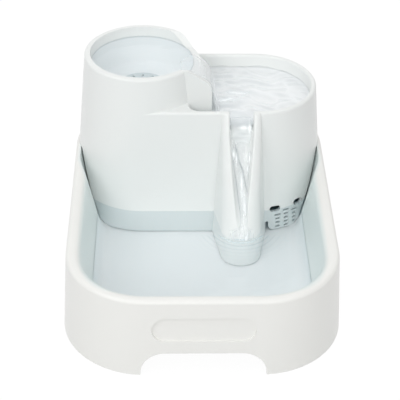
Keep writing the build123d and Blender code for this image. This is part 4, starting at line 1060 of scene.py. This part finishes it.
begun = smooth_step((fallen - 0.10) / 0.12)
left_height = reading([0.0, 0.2, 0.5, 0.8, 1.0], [0.5, 2.0, 2.8, 2.0, 0.4]) * MM
right_height = reading([0.0, 0.2, 0.45, 0.60, 0.7], [0.5, 2.2, 2.6, 1.0, 0.2]) * MM
left_height *= 1.0 + 0.16 * np.sin(fallen * 27.0)
right_height *= 1.0 + 0.18 * np.sin(fallen * 31.0 + 1.0)
left_strand = arched(-1.0, fold_line)
right_strand = arched(fold_line, 1.0)
strands = (left_strand * left_height + right_strand * right_height) * begun * (1.0 - 0.9 * spread)
depth = (4.4 - 3.2 * smooth_step(fallen / 0.18)) * MM * (1.0 - 0.7 * spread)
depth *= 0.70 + 0.35 * smooth_step(down / (5.0 * MM))
arcs = 0.4 * MM * np.sin(fallen * 150.0 + 2.5 * side ** 2) * line_at(0.2, 0.4)
arcs *= np.exp(-(((fallen - 0.06) / 0.04) ** 2))
rounding = np.sqrt(np.maximum(1.0 - side ** 6, 0.0))
stream_height = (depth + strands + arcs) * (0.05 + 0.95 * rounding)

# %% [markdown]
# Where the channel ends, the stream leaves its bed and spreads into a film on the chute's rounded
# foot. So below that line the strip's width goes over to the film's, and its bed goes over from
# the channel to the foot's front, wrapped back along the rounding at both sides. Above it the
# channel is hollow, so the bed rises to both sides there.

# %% Chute stream
FILM_HALF = 12.6 * MM
FILM_OFF = 0.9 * MM
FACE_FRONT = -27.17 * MM  # the chute's front face at the basin's floor
FACE_LEAN = 60.0 / 118.0  # how far it leans back, per rise
across_share = left_edge + (right_edge - left_edge) * (side + 1.0) / 2.0
narrow_off = across_share * half_width
stream_off = narrow_off + (side * FILM_HALF - narrow_off) * spread
face_y = FACE_FRONT + FACE_LEAN * (bed_z - BASIN_FLOOR)
base_y = bed_y + (face_y - bed_y) * spread
off_round = np.clip(np.abs(stream_off) - (FOOT_HALF - FOOT_ROUND), 0.0, FOOT_ROUND)
wrapped = (FOOT_ROUND - np.sqrt((FOOT_ROUND + FILM_OFF) ** 2 - off_round ** 2)) * spread
hollow_side = half_width * (1.0 - np.sqrt(np.maximum(1.0 - across_share ** 2, 0.0)))
bed_rise = hollow_side * smooth_step(fallen / 0.05) * (1.0 - fallen) * (1.0 - spread)


def over_bed(rise, height):
    """Points at a height over the bed, square to its slope, on a bed that rises to its sides."""
    off = rise + height
    y = base_y + wrapped + lift_y * off
    z = bed_z + lift_z * height + 0.0 * off
    return np.stack([CHUTE_X + stream_off, y, z], axis=-1)


chute_stream = strip_skin(
    "chute_stream",
    over_bed(bed_rise * 0.5, stream_height + 0.4 * MM),
    over_bed(bed_rise, 0.2 * MM + 0.0 * side),
)

# %% [markdown]
# What one sees of fast clear water is its light and shade, and where it breaks: highlights on the
# strands, a dark line in the fold and along the rails, and a fringe of white dashes where it dives
# into the bowl. The highlights and the dark lines are painted light and painted shade; the dashes
# are froth. They are written on the strip's outside as foam and painted_shade; its underside gets
# none. The film on the chute's foot is too thin to be seen, so there thin leaves only the foam.

# %% Painted highlights, painted shade and splashes
# Painted highlights on the strands and at the top of the fall.
PAINTED_HIGHLIGHTS = np.array([  # place across and down, reach across and down, strength
    (-0.78, 0.24, 0.16, 0.05, 1.0),
    (-0.50, 0.29, 0.12, 0.06, 0.9),
    (-0.10, 0.50, 0.26, 0.08, 0.9),
    (0.15, 0.72, 0.40, 0.09, 0.75),
    (0.86, 0.28, 0.12, 0.05, 1.0),
    (0.68, 0.38, 0.14, 0.05, 0.8),
    (0.75, 0.03, 0.12, 0.02, 1.0),
    (0.20, 0.03, 0.35, 0.012, 0.8),
])
off_across = (side[..., None] - PAINTED_HIGHLIGHTS[:, 0]) / PAINTED_HIGHLIGHTS[:, 2]
off_down = (fallen[..., None] - PAINTED_HIGHLIGHTS[:, 1]) / PAINTED_HIGHLIGHTS[:, 3]
stream_foam_and_highlights = (np.exp(-(off_across ** 2) - off_down ** 2) * PAINTED_HIGHLIGHTS[:, 4]).sum(axis=-1)
dashes = np.clip(np.sin(side * 23.0 + 2.0 * np.sin(side * 9.0)) - 0.1, 0.0, 1.0)
dash_reach = (7.0 + 4.0 * np.sin(side * 13.0 + 1.0)) * MM
splash = smooth_step((down - path_walked[2] + dash_reach) / (4.0 * MM))
stream_foam_and_highlights += splash * (0.12 + 0.88 * dashes) * (1.0 - side ** 4)
stream_foam_and_highlights += 0.3 * (1.0 - begun)
# Painted shade along both rails and in the fold.
rail_painted_shade = line_at(-1.0, 0.16) + 0.8 * line_at(1.0, 0.12)
broken = 0.75 + 0.25 * np.sin(fallen * 38.0)
stream_painted_shade = (line_at(fold_line, 0.10) * (fallen < 0.66) * broken + rail_painted_shade) * begun
stream_painted_shade *= 1.0 - smooth_step((fallen - 0.72) / 0.2)
stream_painted_shade += (0.05 + 0.5 * rail_painted_shade) * (1.0 - begun) * smooth_step(fallen / 0.08)
stream_thin = spread + 0.0 * side
for name, values in (("foam", stream_foam_and_highlights), ("painted_shade", stream_painted_shade), ("thin", stream_thin)):
    mark(chute_stream, name, [values, 0.0 * values])
finish_piece(chute_stream, white_water, "tower")

# %% [markdown]
# ## The last step
# The view layer is brought up to date, so that every piece stands where it was put.

# %% Update
bpy.context.view_layer.update()
